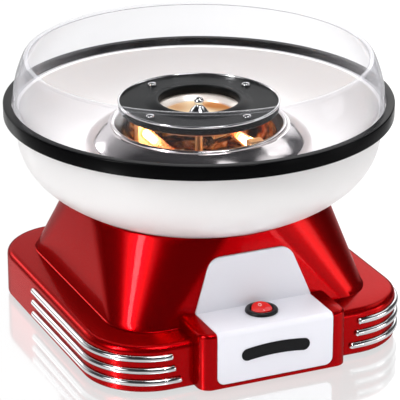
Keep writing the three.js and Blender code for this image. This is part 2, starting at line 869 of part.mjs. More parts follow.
function motorShaft() {
  const bottom = motorTop - shaftSocketDepth + 1;
  const shaft = turned([
    [0, bottom], [shaftRadius, bottom], [shaftRadius, shaftTop - 1],
    [shaftRadius - 1, shaftTop], [0, shaftTop],
  ], tinySteps);
  return carved(shaft, turnedAlongX(pinRadius + seatGap, shaftRadius + 1).translate(0, 0, pinHeight));
}

place('motor_shaft', 'steel', motorShaft());
place('drive_pin', 'steel', turnedAlongX(pinRadius, pinHalfLength), [0, 0, pinHeight]);

// Heater: can on the deck, polished reflector dish, two glowing tubes in ceramic holders.

const canBottom = deckTop + seatGap;
const canTop = dishFloor - dishSheet - seatGap;

function heaterCan() {
  const inner = heaterCanRadius - heaterCanWall;
  return turned([
    [heaterCanRadius, canBottom + heaterCanWall], [heaterCanRadius, canTop], [dishFloorRadius - 6, canTop],
    [dishFloorRadius - 6, canTop - heaterCanWall], [inner, canTop - heaterCanWall],
    [inner, canBottom], [heaterCanRadius + heaterFlange, canBottom],
    [heaterCanRadius + heaterFlange, canBottom + heaterCanWall],
  ], narrowSteps);
}

function dishLine(offset) {
  const points = [];
  const steps = 4;
  for (let i = 0; i <= steps; i += 1) {
    const angle = i / steps * Math.PI / 2;
    points.push([
      dishFloorRadius + (dishRadius - dishFloorRadius - offset) * Math.sin(angle),
      dishFloor - dishSheet + offset + (dishTop - dishFloor) * (1 - Math.cos(angle)),
    ]);
  }
  return points;
}

function reflectorDish() {
  const outer = dishLine(0);
  const inner = dishLine(dishSheet);
  return turned([
    [dishHoleRadius, dishFloor - dishSheet], ...outer, ...inner.reverse(), [dishHoleRadius, dishFloor],
  ], headSteps);
}

function heaterTube() {
  return cylinder(tubeRadius, -tubeHalfLength, tubeHalfLength, tinySteps).rotateX(quarterTurn);
}

// The room inside the dish, a seat's gap off its sheet.
function dishRoom() {
  const line = dishLine(dishSheet + seatGap);
  return turned([[0, line[0][1]], ...line, [0, dishTop + holderHeight]], headSteps);
}

function tubeHolder(x, front) {
  const reach = tubeHalfLength - tubeSocketDepth + seatGap;
  const block = box(x - holderWidth / 2, x + holderWidth / 2, reach, reach + holderLength, dishFloor,
    tubeHeight + holderHeight / 2);
  const socket = cylinder(tubeRadius + seatGap, 0, tubeHalfLength + seatGap, tinySteps)
    .rotateX(-quarterTurn).translate(x, 0, tubeHeight);
  const holder = carved(block, socket);
  return common(front ? weld(holder.scale(1, -1, 1)) : holder, dishRoom());
}

place('heater_can', 'steel', heaterCan());
place('reflector_dish', 'aluminium', reflectorDish());
for (const [side, sign] of [['left', -1], ['right', 1]]) {
  place(`heater_tube_${side}`, 'glow', heaterTube(), [sign * tubeOffset, 0, tubeHeight]);
  place(`tube_holder_${side}_back`, 'ceramic', tubeHolder(sign * tubeOffset, false));
  place(`tube_holder_${side}_front`, 'ceramic', tubeHolder(sign * tubeOffset, true));
}

// Bowl: a deep white basin with a hole for the heater, an outward flange and a black rim on it.

const flangeBottom = bowlTop;
const flangeTop = bowlTop + bowlFlangeThickness;

function bowlInnerPoints() {
  return shifted(bowlOuterPoints(), bowlWall);
}

function bowlShell() {
  const outer = bowlOuterPoints();
  const inner = bowlInnerPoints().slice(2, -1);
  const standWall = bowlHoleRadius + bowlWall;
  return turned([
    ...outer, [bowlFlangeRadius, flangeBottom], [bowlFlangeRadius, flangeTop],
    [bowlWallRadius - bowlWall, flangeTop], ...inner.reverse(), [standWall, bowlBottom + bowlWall],
    [standWall, bowlBottom + bowlUpstand], [bowlHoleRadius, bowlBottom + bowlUpstand],
  ]);
}

function rimRing() {
  return turned([
    [rimLipInner, rimBottom], [rimRadius - 1, rimBottom], [rimRadius, rimBottom + 1],
    [rimRadius, rimTop - 1], [rimRadius - 1, rimTop], [rimInnerRadius, rimTop],
    [rimInnerRadius, flangeTop + seatGap], [bowlFlangeRadius + seatGap, flangeTop + seatGap],
    [bowlFlangeRadius + seatGap, flangeBottom - seatGap], [rimLipInner, flangeBottom - seatGap],
  ]);
}

place('bowl_shell', 'white', bowlShell());
place('rim_ring', 'black', rimRing());

// Collar: spun aluminium funnel with a rolled mouth, standing on the bowl's floor.

function bowlFloorZ(radius) {
  const inner = bowlInnerPoints().slice(2);
  for (let i = 0; i + 1 < inner.length; i += 1) {
    const [r0, z0] = inner[i];
    const [r1, z1] = inner[i + 1];
    if (radius >= r0 && radius <= r1) {
      return z0 + (z1 - z0) * (radius - r0) / (r1 - r0);
    }
  }
  return inner[0][1];
}

// From the mouth down the polished flank, over the crease and shoulder and down the wall to the foot.
function collarLine() {
  const mouth = [collarMouthRadius + 2 * collarRoll - collarSheet, collarTop - collarRoll];
  const crease = [collarCreaseRadius, collarCreaseZ];
  const flank = [(mouth[0] + crease[0]) / 2, (mouth[1] + crease[1]) / 2 + collarSheet / 2];
  return [
    mouth, flank, crease, [collarShoulderRadius, collarShoulderZ], [collarWallRadius, collarWallZ],
    [collarFootRadius, bowlFloorZ(collarFootRadius + collarSheet) + seatGap],
  ];
}

function heatCollar() {
  const inner = collarLine();
  const outer = shifted(inner, collarSheet);
  const foot = inner.length - 1;
  outer[foot] = [inner[foot][0] + collarSheet, inner[foot][1]];
  const roll = [];
  const steps = 4;
  for (let i = 0; i <= steps; i += 1) {
    const angle = (1.25 - 1.25 * i / steps) * Math.PI;
    roll.push([
      collarMouthRadius + collarRoll * (1 + Math.cos(angle)),
      collarTop - collarRoll * (1 - Math.sin(angle)),
    ]);
  }
  return turned([...roll, ...outer.slice(1), ...inner.reverse()]);
}

place('heat_collar', 'aluminium', heatCollar());

// Floss guard: a clear bulged ring that stands in the rim and turns inward at its mouth.

function guardRadiusAt(z) {
  const start = flangeTop + seatGap + guardStraight;
  const share = Math.max(0, (z - start) / (guardTop - start));
  return guardFootRadius - (guardFootRadius - guardTopRadius) * share ** guardCurve;
}

function flossGuard() {
  const foot0 = flangeTop + seatGap;
  const outer = [[guardFootRadius, foot0]];
  const inner = [[guardFootRadius - guardWall, foot0]];
  const steps = 4;
  for (let i = 0; i <= steps; i += 1) {
    const z = foot0 + guardStraight + (guardTop - foot0 - guardStraight) * i / steps;
    outer.push([guardRadiusAt(z), z]);
    inner.push([guardRadiusAt(z) - guardWall, i === steps ? z - guardWall : z]);
  }
  const mouth = guardTopRadius - guardLip;
  return turned([...outer, [mouth, guardTop], [mouth, guardTop - guardWall], ...inner.reverse()]);
}

place('floss_guard', 'clear', flossGuard());

// Spinning head: pan with hub, slotted band, black plate, chrome ring, screws and knob.

const panFlatRadius = panRadius - panEdgeWidth;
const pinSlot = pinRadius + 0.5;
const plateRadius = headRadius - headRingOverhang;
const bandBottom = panRimZ + panSheet + seatGap;
const bandTop = plateTop - plateThickness - seatGap;

function headPan() {
  const pan = turned([
    [0, hubBottom], [hubRadius, hubBottom], [hubRadius, panFloorZ - panSheet],
    [panFlatRadius, panFloorZ - panSheet], [panFlatRadius + panSlopeWidth, panFloorZ],
    [panRadius - 2, panRimZ], [panRadius, panRimZ],
    [panRadius, panRimZ + panSheet], [panRadius - 3.2, panRimZ + panSheet],
    [panFlatRadius + panSlopeWidth - 1, panFloorZ + panSheet], [panFlatRadius - 1, panFloorZ],
    [hubRadius + 1, panFloorZ], [hubRadius - 2, panFloorZ + 2], [0, panFloorZ + 2],
  ], headSteps);
  const bore = cylinder(shaftRadius + seatGap, hubBottom - 1, shaftTop + seatGap, tinySteps);
  const slot = box(-pinHalfLength - 0.5, pinHalfLength + 0.5, -pinSlot, pinSlot,
    hubBottom - 1, pinHeight + pinRadius + seatGap);
  const screwHoles = ringOfAngles(headScrewCount, headScrewPhase).map((angle) => (
    cylinder(headScrewShank + seatGap, panFloorZ - 5, panRimZ + 5, tinySteps)
      .translate(headScrewCircle * Math.cos(angle), headScrewCircle * Math.sin(angle), 0)
  ));
  return carved(pan, bore, slot, ...screwHoles);
}

function headBand() {
  const band = turned([
    [bandRadius - bandWall, bandBottom], [bandRadius, bandBottom],
    [bandRadius, bandTop], [bandRadius - bandWall, bandTop],
  ], headSteps);
  const z = (bandBottom + bandTop) / 2;
  const slots = ringOfAngles(bandSlots).map((angle) => (
    box(bandRadius - 4, bandRadius + 4, -bandSlotWidth / 2, bandSlotWidth / 2,
      z - bandSlotHeight / 2, z + bandSlotHeight / 2).rotateZ(angle)
  ));
  return carved(band, ...slots);
}

function headPlate() {
  const lip = plateTop - plateHoleDrop;
  const under = plateTop - plateThickness;
  const plate = turned([
    [plateHoleRadius, lip - plateInnerSkirt], [plateHoleRadius + plateThickness, lip - plateInnerSkirt],
    [plateHoleRadius + plateThickness, lip - plateThickness], [plateHoleRadius + 12, under],
    [plateRadius - plateThickness, under], [plateRadius - plateThickness, plateTop - plateOuterSkirt],
    [plateRadius, plateTop - plateOuterSkirt], [plateRadius, plateTop],
    [plateHoleRadius + 11, plateTop], [plateHoleRadius + 1, lip], [plateHoleRadius, lip - 1],
  ], headSteps);
  const holes = ringOfAngles(headScrewCount, headScrewPhase).map((angle) => (
    cylinder(headScrewShank + seatGap, plateTop - 6, plateTop + 2, tinySteps)
      .translate(headScrewCircle * Math.cos(angle), headScrewCircle * Math.sin(angle), 0)
  ));
  return carved(plate, ...holes);
}

// A thin bead with a crowned top, on the plate's edge.
function headRing() {
  const inner = headRadius - headRingWidth;
  const seat = plateTop + seatGap;
  const shoulder = (seat + headRingTop) / 2;
  return turned([
    [inner, seat], [headRadius, seat], [headRadius, shoulder],
    [headRadius - headRingWidth / 2, headRingTop], [inner, shoulder],
  ], headSteps);
}

function headKnob() {
  const base = panFloorZ + 2 + seatGap;
  const ballZ = knobTop - knobBallRadius;
  const profile = [[0, base], [knobFlareRadius, base], [knobFlareRadius, base + knobFlareEdge],
    [(knobFlareRadius + knobNeckRadius) / 2, base + knobNeckHeight / 2],
    [knobNeckRadius, base + knobNeckHeight]];
  const steps = 6;
  for (let i = 1; i <= steps; i += 1) {
    const angle = (-0.28 + 0.78 * i / steps) * Math.PI;
    profile.push([knobBallRadius * Math.cos(angle), ballZ + knobBallRadius * Math.sin(angle)]);
  }
  profile[profile.length - 1][0] = 0;
  return carved(turned(profile, tinySteps), cylinder(shaftRadius + seatGap, base - 1,
    shaftTop + seatGap, tinySteps));
}

place('head_pan', 'aluminium', headPan());
place('head_band', 'steel', headBand());
place('head_plate', 'black', headPlate());
place('head_ring', 'chrome', headRing());
place('head_knob', 'chrome', headKnob());
ringOfAngles(headScrewCount, headScrewPhase).forEach((angle, i) => {
  const at = [headScrewCircle * Math.cos(angle), headScrewCircle * Math.sin(angle), plateTop + seatGap];
  const screw = screwBody(headScrewHead, headScrewHeight, headScrewShank, headScrewLength);
  place(`head_screw_${i + 1}`, 'chrome', screw, at);
});

export default machine;
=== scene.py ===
import math

import bmesh
import bpy
from mathutils import Matrix, Vector


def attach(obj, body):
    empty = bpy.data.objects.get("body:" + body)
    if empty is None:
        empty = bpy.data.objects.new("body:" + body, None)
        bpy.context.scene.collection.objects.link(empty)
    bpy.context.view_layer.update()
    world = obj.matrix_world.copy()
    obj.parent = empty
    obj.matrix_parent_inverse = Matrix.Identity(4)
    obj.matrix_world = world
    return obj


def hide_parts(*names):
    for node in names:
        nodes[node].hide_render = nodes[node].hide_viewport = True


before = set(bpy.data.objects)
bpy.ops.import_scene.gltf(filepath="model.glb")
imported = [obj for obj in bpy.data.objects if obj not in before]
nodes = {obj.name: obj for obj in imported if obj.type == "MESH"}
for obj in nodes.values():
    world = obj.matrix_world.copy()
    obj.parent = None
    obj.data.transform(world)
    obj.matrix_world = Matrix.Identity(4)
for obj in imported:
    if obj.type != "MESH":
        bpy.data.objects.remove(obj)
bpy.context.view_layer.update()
scene = bpy.context.scene
print("frame loaded:", len(nodes), "CAD nodes")

mm = 0.001
seatGap = 0.3  # what touches keeps this much air, in mm
overshoot = 1  # how far a cutting shape reaches past what it cuts, in mm
mergeDistance = 1e-6  # vertices closer than this, in metres, become one
sharpAngle = 32  # edges steeper than this, in degrees, shade sharp


# Colour and node helpers

def toLinear(hexColour):
    channels = [int(hexColour[i:i + 2], 16) / 255 for i in (1, 3, 5)]
    return [c / 12.92 if c <= 0.04045 else ((c + 0.055) / 1.055) ** 2.4 for c in channels] + [1.0]


def addNode(tree, kind, settings=None, links=None):
    node = tree.nodes.new(kind)
    for name, value in (settings or {}).items():
        if name == "stops":  # a colour ramp's positions and colours, from left to right
            elements = node.color_ramp.elements
            elements[0].position, elements[0].color = value[0]
            elements[1].position, elements[1].color = value[-1]
            for position, colour in value[1:-1]:
                elements.new(position).color = colour
        elif isinstance(name, int) or name in node.inputs:
            node.inputs[name].default_value = value
        else:
            setattr(node, name, value)
    for name, source in (links or {}).items():
        tree.links.new(source, node.inputs[name])
    return node


def startMaterial(name, settings):
    material = bpy.data.materials.new(name)
    material.use_nodes = True
    tree = material.node_tree
    shader = tree.nodes["Principled BSDF"]
    for socket, value in settings.items():
        shader.inputs[socket].default_value = value
    place = tree.nodes.new("ShaderNodeTexCoord").outputs["Object"]
    return material, tree, shader, place


# Mesh helpers

def moved(x=0.0, y=0.0, z=0.0):
    return Matrix.Translation((x * mm, y * mm, z * mm))


def shares(count):
    # from 0 to 1 in equal steps
    return [i / count for i in range(count + 1)]


def finishMesh(name, bm, sharp=sharpAngle):
    bmesh.ops.remove_doubles(bm, verts=bm.verts, dist=mergeDistance)
    bmesh.ops.recalc_face_normals(bm, faces=bm.faces)
    mesh = bpy.data.meshes.new(name)
    bm.to_mesh(mesh)
    bm.free()
    mesh.shade_smooth()
    mesh.set_sharp_from_angle(angle=math.radians(sharp))
    piece = bpy.data.objects.new(name, mesh)
    scene.collection.objects.link(piece)
    return piece


def spunBody(profile, steps=128, centre=(0, 0, 0)):
    bm = bmesh.new()
    ring = [bm.verts.new((radius * mm, 0, z * mm)) for radius, z in profile]
    onAxis = profile[0][0] == 0 and profile[-1][0] == 0
    pairs = list(zip(ring, ring[1:])) + ([] if onAxis else [(ring[-1], ring[0])])
    edges = [bm.edges.new(pair) for pair in pairs]
    bmesh.ops.spin(bm, geom=ring + edges, cent=(0, 0, 0), axis=(0, 0, 1), dvec=(0, 0, 0),
                   angle=2 * math.pi, steps=steps, use_merge=True)
    bmesh.ops.remove_doubles(bm, verts=bm.verts, dist=mergeDistance)
    bmesh.ops.translate(bm, vec=Vector(centre) * mm, verts=bm.verts)
    return bm


def roundedRing(bm, halfX, halfY, radius, z, segments):
    flat = bmesh.ops.create_grid(bm, x_segments=1, y_segments=1, size=1.0,
                                 matrix=moved(z=z) @ Matrix.Diagonal((halfX * mm, halfY * mm, 1, 1)))
    bmesh.ops.bevel(bm, geom=flat["verts"], offset=radius * mm, offset_type="OFFSET", segments=segments,
                    profile=0.5, affect="VERTICES", clamp_overlap=False, material=-1)
    return [f for f in bm.faces if abs(f.calc_center_median().z - z * mm) < 2 * mergeDistance][-1]


def roundedStack(levels, segments=18, setback=0.0):
    # levels are (z, half width, half depth, corner radius) in mm, from the bottom up
    bm = bmesh.new()
    faces = [roundedRing(bm, halfX, halfY, radius, z, segments) for z, halfX, halfY, radius in levels]
    for lower, upper in zip(faces, faces[1:]):
        bmesh.ops.bridge_loops(bm, edges=list(lower.edges) + list(upper.edges))
    bmesh.ops.delete(bm, geom=faces[1:-1], context="FACES_ONLY")
    bmesh.ops.translate(bm, vec=(0, setback * mm, 0), verts=bm.verts)
    bmesh.ops.recalc_face_normals(bm, faces=bm.faces)
    return bm


def edgeLevels(top, radius, level, steps=6):
    # the levels of a rounded top edge; level gives a level for its height and inset
    turns = [t * math.pi / 2 for t in shares(steps)]
    return [level(top - radius + radius * math.sin(a), radius * (1 - math.cos(a))) for a in turns]


def cutWith(piece, operation, cutters):
    for cutter in cutters:
        tool = piece.modifiers.new("cut", "BOOLEAN")
        tool.operation = operation
        tool.solver = "EXACT"
        tool.object = cutter
    bpy.context.view_layer.update()
    depsgraph = bpy.context.evaluated_depsgraph_get()
    mesh = bpy.data.meshes.new_from_object(piece.evaluated_get(depsgraph))
    piece.modifiers.clear()
    piece.data = mesh
    for cutter in cutters:
        bpy.data.objects.remove(cutter)
    bm = bmesh.new()
    bm.from_mesh(mesh)
    bmesh.ops.remove_doubles(bm, verts=bm.verts, dist=2 * mergeDistance)
    bmesh.ops.dissolve_degenerate(bm, edges=bm.edges, dist=2 * mergeDistance)
    bm.to_mesh(mesh)
    bm.free()
    mesh.shade_smooth()
    mesh.set_sharp_from_angle(angle=math.radians(sharpAngle))


def soften(piece, width, segments=3, angle=40):
    edge = piece.modifiers.new("softEdges", "BEVEL")
    edge.width = width * mm
    edge.segments = segments
    edge.limit_method = "ANGLE"
    edge.angle_limit = math.radians(angle)
    edge.harden_normals = True


def dress(piece, material, body, slot, *replaced):
    piece.data.materials.clear()
    piece.data.materials.append(material)
    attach(piece, body)
    if replaced:
        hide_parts(*replaced)
    return piece


def cylinderBody(radius, bottom, top, steps=48, centre=(0, 0, 0)):
    return spunBody([(0, bottom), (radius, bottom), (radius, top), (0, top)], steps, centre)


def blockBody(x0, x1, y0, y1, z0, z1):
    bm = bmesh.new()
    size = Matrix.Diagonal(((x1 - x0) * mm, (y1 - y0) * mm, (z1 - z0) * mm, 1))
    bmesh.ops.create_cube(bm, size=1.0, matrix=moved((x0 + x1) / 2, (y0 + y1) / 2, (z0 + z1) / 2) @ size)
    return bm


# Materials

lacquer = {"flakePitch": 0.9, "flakeTilt": 0.12, "flakeDepth": 0.02}  # lengths in mm


def makeLacquer():
    # Candy lacquer over vacuum-metallised ABS: a red mirror, bright where it faces light and deep red
    # elsewhere. Real flakes are far finer than these, which are just coarse enough to show.
    material, tree, shader, place = startMaterial("candyLacquer", {
        "Metallic": 0.85, "Roughness": 0.25, "Specular Tint": toLinear("#B4101C"),
        "Coat Weight": 0.12, "Coat Roughness": 0.03, "Coat IOR": 1.5})
    flakes = addNode(tree, "ShaderNodeTexVoronoi", {"Scale": 1000 / lacquer["flakePitch"]}, {"Vector": place})
    tone = addNode(tree, "ShaderNodeValToRGB", {
        "stops": [(0.0, toLinear("#AC0004")), (1.0, toLinear("#BA0008"))]}, {"Fac": flakes.outputs["Color"]})
    tree.links.new(tone.outputs["Color"], shader.inputs["Base Color"])
    tilt = addNode(tree, "ShaderNodeBump", {
        "Strength": lacquer["flakeTilt"], "Distance": lacquer["flakeDepth"] * mm},
        {"Height": flakes.outputs["Distance"]})
    tree.links.new(tilt.outputs["Normal"], shader.inputs["Normal"])
    return material


moulded = {"cloud": 40.0, "glossSpread": 0.15, "toneSpread": 0.003, "rippleDepth": 0.05}  # lengths in mm


def makeMoulded(name, hexColour, roughness, grain, depth, extra=None):
    # Moulded plastic: even colour, a slight cloud in its gloss and a faint ripple from the tool
    material, tree, shader, place = startMaterial(name, {"Roughness": roughness, **(extra or {})})
    cloud = addNode(tree, "ShaderNodeTexNoise", {"Scale": 1000 / moulded["cloud"], "Detail": 2.0},
                    {"Vector": place})
    spread = roughness * moulded["glossSpread"]
    gloss = addNode(tree, "ShaderNodeMapRange", {"To Min": roughness - spread, "To Max": roughness + spread},
                    {"Value": cloud.outputs["Fac"]})
    tree.links.new(gloss.outputs["Result"], shader.inputs["Roughness"])
    tint = addNode(tree, "ShaderNodeHueSaturation", {"Color": toLinear(hexColour)})
    spread = moulded["toneSpread"]
    light = addNode(tree, "ShaderNodeMapRange", {"To Min": 1 - spread, "To Max": 1 + spread},
                    {"Value": cloud.outputs["Fac"]})
    tree.links.new(light.outputs["Result"], tint.inputs["Value"])
    tree.links.new(tint.outputs["Color"], shader.inputs["Base Color"])
    ripple = addNode(tree, "ShaderNodeTexNoise", {"Scale": 1000 / grain, "Detail": 3.0}, {"Vector": place})
    relief = addNode(tree, "ShaderNodeBump", {"Strength": depth, "Distance": moulded["rippleDepth"] * mm},
                     {"Height": ripple.outputs["Fac"]})
    tree.links.new(relief.outputs["Normal"], shader.inputs["Normal"])
    return material


spun = {"ringDepth": 0.03, "glossLow": 0.8, "glossHigh": 1.3, "waver": 0.4}
waveRadians = 20  # what a wave texture turns by in one unit


def makeSpunMetal(name, hexColour, roughness, ringPitch, depth):
    # Metal turned on a lathe: rings round the axle, far coarser than the real tool marks so that they show
    material, tree, shader, place = startMaterial(name, {
        "Base Color": toLinear(hexColour), "Metallic": 1.0, "Roughness": roughness})
    rings = addNode(tree, "ShaderNodeTexWave", {
        "wave_type": "RINGS", "rings_direction": "Z", "Scale": 2 * math.pi * 1000 / ringPitch / waveRadians,
        "Distortion": spun["waver"], "Detail": 2.0}, {"Vector": place})
    gloss = addNode(tree, "ShaderNodeMapRange", {
        "To Min": roughness * spun["glossLow"], "To Max": roughness * spun["glossHigh"]},
        {"Value": rings.outputs["Fac"]})
    tree.links.new(gloss.outputs["Result"], shader.inputs["Roughness"])
    relief = addNode(tree, "ShaderNodeBump", {"Strength": depth, "Distance": spun["ringDepth"] * mm},
                     {"Height": rings.outputs["Fac"]})
    tree.links.new(relief.outputs["Normal"], shader.inputs["Normal"])
    return material


plated = {"glossLow": 0.6, "glossHigh": 1.6}


def makePlated(name, hexColour, roughness, grain):
    # Plated or polished metal: almost a mirror, with faint wipe marks in its gloss
    material, tree, shader, place = startMaterial(name, {
        "Base Color": toLinear(hexColour), "Metallic": 1.0, "Roughness": roughness})
    marks = addNode(tree, "ShaderNodeTexNoise", {"Scale": 1000 / grain, "Detail": 4.0}, {"Vector": place})
    gloss = addNode(tree, "ShaderNodeMapRange", {
        "To Min": roughness * plated["glossLow"], "To Max": roughness * plated["glossHigh"]},
        {"Value": marks.outputs["Fac"]})
    tree.links.new(gloss.outputs["Result"], shader.inputs["Roughness"])
    return material


heatTintAndPaintedLight = {"band": 22.0, "swirl": 1.4, "patch": 34.0, "paintedBandFrom": 26.2, "paintedBandFull": 27.5}  # lengths in mm


def makeHeatTintAndPaintedGlow():
    # Polished aluminium beside the heater: bands of brown, orange and straw, partly heat tint and partly
    # painted reflection of the glowing coils
    material, tree, shader, place = startMaterial("heatTintAndPaintedGlowAluminium", {"Metallic": 1.0, "Roughness": 0.15})
    # painted reflection: the darkest and palest bands stand in for what the dish mirrors, over its heat tint
    bands = addNode(tree, "ShaderNodeTexNoise", {
        "Scale": 1000 / heatTintAndPaintedLight["band"], "Detail": 3.0, "Distortion": heatTintAndPaintedLight["swirl"]}, {"Vector": place})
    tone = addNode(tree, "ShaderNodeValToRGB", {"stops": [
        (0.42, toLinear("#2C1A0A")), (0.52, toLinear("#C07C2C")), (0.62, toLinear("#FFF0CC"))]},
        {"Fac": bands.outputs["Fac"]})
    tree.links.new(tone.outputs["Color"], shader.inputs["Base Color"])
    return material


def makePanMetal():
    # Spun pan under a dull film of oxide: straw and orange where the heater has tinted its floor. On the wall
    # round it, outwards from a given radius, a near-white is painted in as a highlight for the lit band it
    # shows
    material, tree, shader, place = startMaterial("heatTintedPanPaintedBand", {"Metallic": 0.5, "Roughness": 0.3})
    patches = addNode(tree, "ShaderNodeTexNoise", {"Scale": 1000 / heatTintAndPaintedLight["patch"], "Detail": 1.0},
                      {"Vector": place})
    tint = addNode(tree, "ShaderNodeValToRGB", {
        "stops": [(0.34, toLinear("#C87E3C")), (0.52, toLinear("#F8E4BE"))]}, {"Fac": patches.outputs["Fac"]})
    parts = addNode(tree, "ShaderNodeSeparateXYZ", None, {0: place})
    flat = addNode(tree, "ShaderNodeCombineXYZ", None, {0: parts.outputs["X"], 1: parts.outputs["Y"]})
    radius = addNode(tree, "ShaderNodeVectorMath", {"operation": "LENGTH"}, {0: flat.outputs["Vector"]})
    # painted highlight: near-white on the wall, outwards from this radius
    wall = addNode(tree, "ShaderNodeMapRange", {
        "From Min": heatTintAndPaintedLight["paintedBandFrom"] * mm, "From Max": heatTintAndPaintedLight["paintedBandFull"] * mm},
        {"Value": radius.outputs["Value"]})
    tone = addNode(tree, "ShaderNodeMixRGB", {2: toLinear("#F4ECE6")},
                   {0: wall.outputs["Result"], 1: tint.outputs["Color"]})
    tree.links.new(tone.outputs["Color"], shader.inputs["Base Color"])
    return material


clear = {"ripple": 0.05, "rippleDepth": 0.05, "edgeFrom": 0.8, "paintedOutlineFrom": 0.94, "mirrorGain": 0.9,
         "mirrorLeast": 0.02}


def makeThinClear(name, throughColour, edgeColour, paintedOutlineColour, roughness, metallic, edgePower, grain):
    # Clear and thin, so light goes straight through and hardly any shadow falls. Towards its edges it
    # mirrors instead, and its outline is painted in another colour: a painted reflection of what surrounds
    # it.
    material, tree, shader, place = startMaterial(name, {"Roughness": roughness, "Metallic": metallic})
    flow = addNode(tree, "ShaderNodeTexNoise", {"Scale": 1000 / grain, "Detail": 1.0}, {"Vector": place})
    relief = addNode(tree, "ShaderNodeBump", {
        "Strength": clear["ripple"], "Distance": clear["rippleDepth"] * mm}, {"Height": flow.outputs["Fac"]})
    tree.links.new(relief.outputs["Normal"], shader.inputs["Normal"])
    through = addNode(tree, "ShaderNodeBsdfTransparent", {"Color": toLinear(throughColour)})
    facing = addNode(tree, "ShaderNodeLayerWeight", {"Blend": 0.5})
    # painted reflection: the base colour turns to the outline colour where the surface is seen edge-on
    tone = addNode(tree, "ShaderNodeValToRGB", {"stops": [
        (clear["edgeFrom"], toLinear(edgeColour)), (clear["paintedOutlineFrom"], toLinear(paintedOutlineColour))]},
        {"Fac": facing.outputs["Facing"]})
    tree.links.new(tone.outputs["Color"], shader.inputs["Base Color"])
    steep = addNode(tree, "ShaderNodeMath", {"operation": "POWER", 1: edgePower},
                    {0: facing.outputs["Facing"]})
    share = addNode(tree, "ShaderNodeMath", {
        "operation": "MULTIPLY_ADD", 1: clear["mirrorGain"], 2: clear["mirrorLeast"]}, {0: steep.outputs[0]})
    rays = addNode(tree, "ShaderNodeLightPath")
    lit = addNode(tree, "ShaderNodeMath", {"operation": "SUBTRACT", 0: 1.0},
                  {1: rays.outputs["Is Shadow Ray"]})
    share = addNode(tree, "ShaderNodeMath", {"operation": "MULTIPLY"},
                    {0: share.outputs[0], 1: lit.outputs[0]})
    mix = addNode(tree, "ShaderNodeMixShader", None, {
        0: share.outputs[0], 1: through.outputs["BSDF"], 2: shader.outputs["BSDF"]})
    tree.links.new(mix.outputs["Shader"], tree.nodes["Material Output"].inputs["Surface"])
    return material


coilHeat = {"hottest": -0.0005, "dim": 1.2, "bright": 30.0}


def makeHotCoil():
    # Resistance wire at working heat: orange, and yellow at each tube's hotter end, where x times y is
    # negative and reaches the value hottest, in square metres
    material, tree, shader, place = startMaterial("hotResistanceWire", {
        "Base Color": toLinear("#7A3A1A"), "Roughness": 0.6})
    parts = addNode(tree, "ShaderNodeSeparateXYZ", None, {0: place})
    ends = addNode(tree, "ShaderNodeMath", {"operation": "MULTIPLY"},
                   {0: parts.outputs["X"], 1: parts.outputs["Y"]})
    heat = addNode(tree, "ShaderNodeMapRange", {"From Min": 0.0, "From Max": coilHeat["hottest"]},
                   {"Value": ends.outputs[0]})
    tone = addNode(tree, "ShaderNodeValToRGB", {
        "stops": [(0.0, toLinear("#FF9440")), (1.0, toLinear("#FFDC98"))]}, {"Fac": heat.outputs["Result"]})
    tree.links.new(tone.outputs["Color"], shader.inputs["Emission Color"])
    power = addNode(tree, "ShaderNodeMapRange", {"To Min": coilHeat["dim"], "To Max": coilHeat["bright"]},
                    {"Value": heat.outputs["Result"]})
    tree.links.new(power.outputs["Result"], shader.inputs["Emission Strength"])
    return material


candyLacquer = makeLacquer()
# moulded: colour, roughness, ripple width in mm and how strong the ripple is
panelAbs = makeMoulded("glossWhiteAbs", "#ECECF4", 0.22, 1.2, 0.05, {"Coat Weight": 0.3})
bowlPlastic = makeMoulded("whitePolypropylene", "#E6E4E4", 0.33, 8, 0.04, {"Coat Weight": 0.1})
rimAbs = makeMoulded("satinBlackAbs", "#050506", 0.22, 0.6, 0.1, {"Specular IOR Level": 0.06})
blackNylon = makeMoulded("blackNylon", "#0A0A0C", 0.34, 0.5, 0.2, {"Specular IOR Level": 0.3})
inkBlack = makeMoulded("printedBlackInk", "#0C0C0F", 0.36, 1.5, 0.05, {"Specular IOR Level": 0.2})
switchRed = makeMoulded("redPolycarbonate", "#E3120F", 0.22, 1.0, 0.04, {
    "Subsurface Weight": 0.15, "Emission Color": toLinear("#FF2010"), "Emission Strength": 0.12})
printWhite = makeMoulded("printedWhiteInk", "#F6F0EC", 0.4, 1.0, 0.02)
plateEnamel = makeMoulded("satinBlackEnamel", "#101112", 0.34, 0.5, 0.3, {"Specular IOR Level": 0.06})
siliconeRubber = makeMoulded("whiteSilicone", "#E6E6E2", 0.55, 0.8, 0.1)
steatite = makeMoulded("steatiteCeramic", "#D8CDB8", 0.7, 0.4, 0.4)
# plated: colour, roughness and width of the marks in mm
chromePlate = makePlated("chromePlate", "#E6E6E8", 0.06, 12)
zincSteel = makePlated("zincPlatedSteel", "#A8AAAE", 0.34, 3)
# spun: colour, roughness, pitch of the rings in mm and how strong they are
spunAluminium = makeSpunMetal("spunAluminium", "#F0EAEA", 0.12, 7.54, 0.25)
# the dish's bands: heat tint and painted reflection of the glowing coils
warmReflector = makeHeatTintAndPaintedGlow()
# the pan's wall carries a painted highlight band
warmPan = makePanMetal()
hotWire = makeHotCoil()
# clear: colours through it, near its edges and painted at its outline, roughness, share of metal, how late it
# turns to a mirror, and ripple width in mm
# the acrylic's grey outline is painted reflection of its dark surroundings
clearAcrylic = makeThinClear("clearAcrylic", "#F9F9FA", "#E4E4E8", "#6C6C74", 0.02, 0.45, 3.2, 30)
# the quartz's warm tints, strongest at its outline, are painted glow of the coil inside
fusedQuartz = makeThinClear("fusedQuartz", "#FFF2EA", "#FFE4D4", "#E8C8B0", 0.04, 0.6, 2.4, 3)
print("materials made")


# Plinth, tower and control box

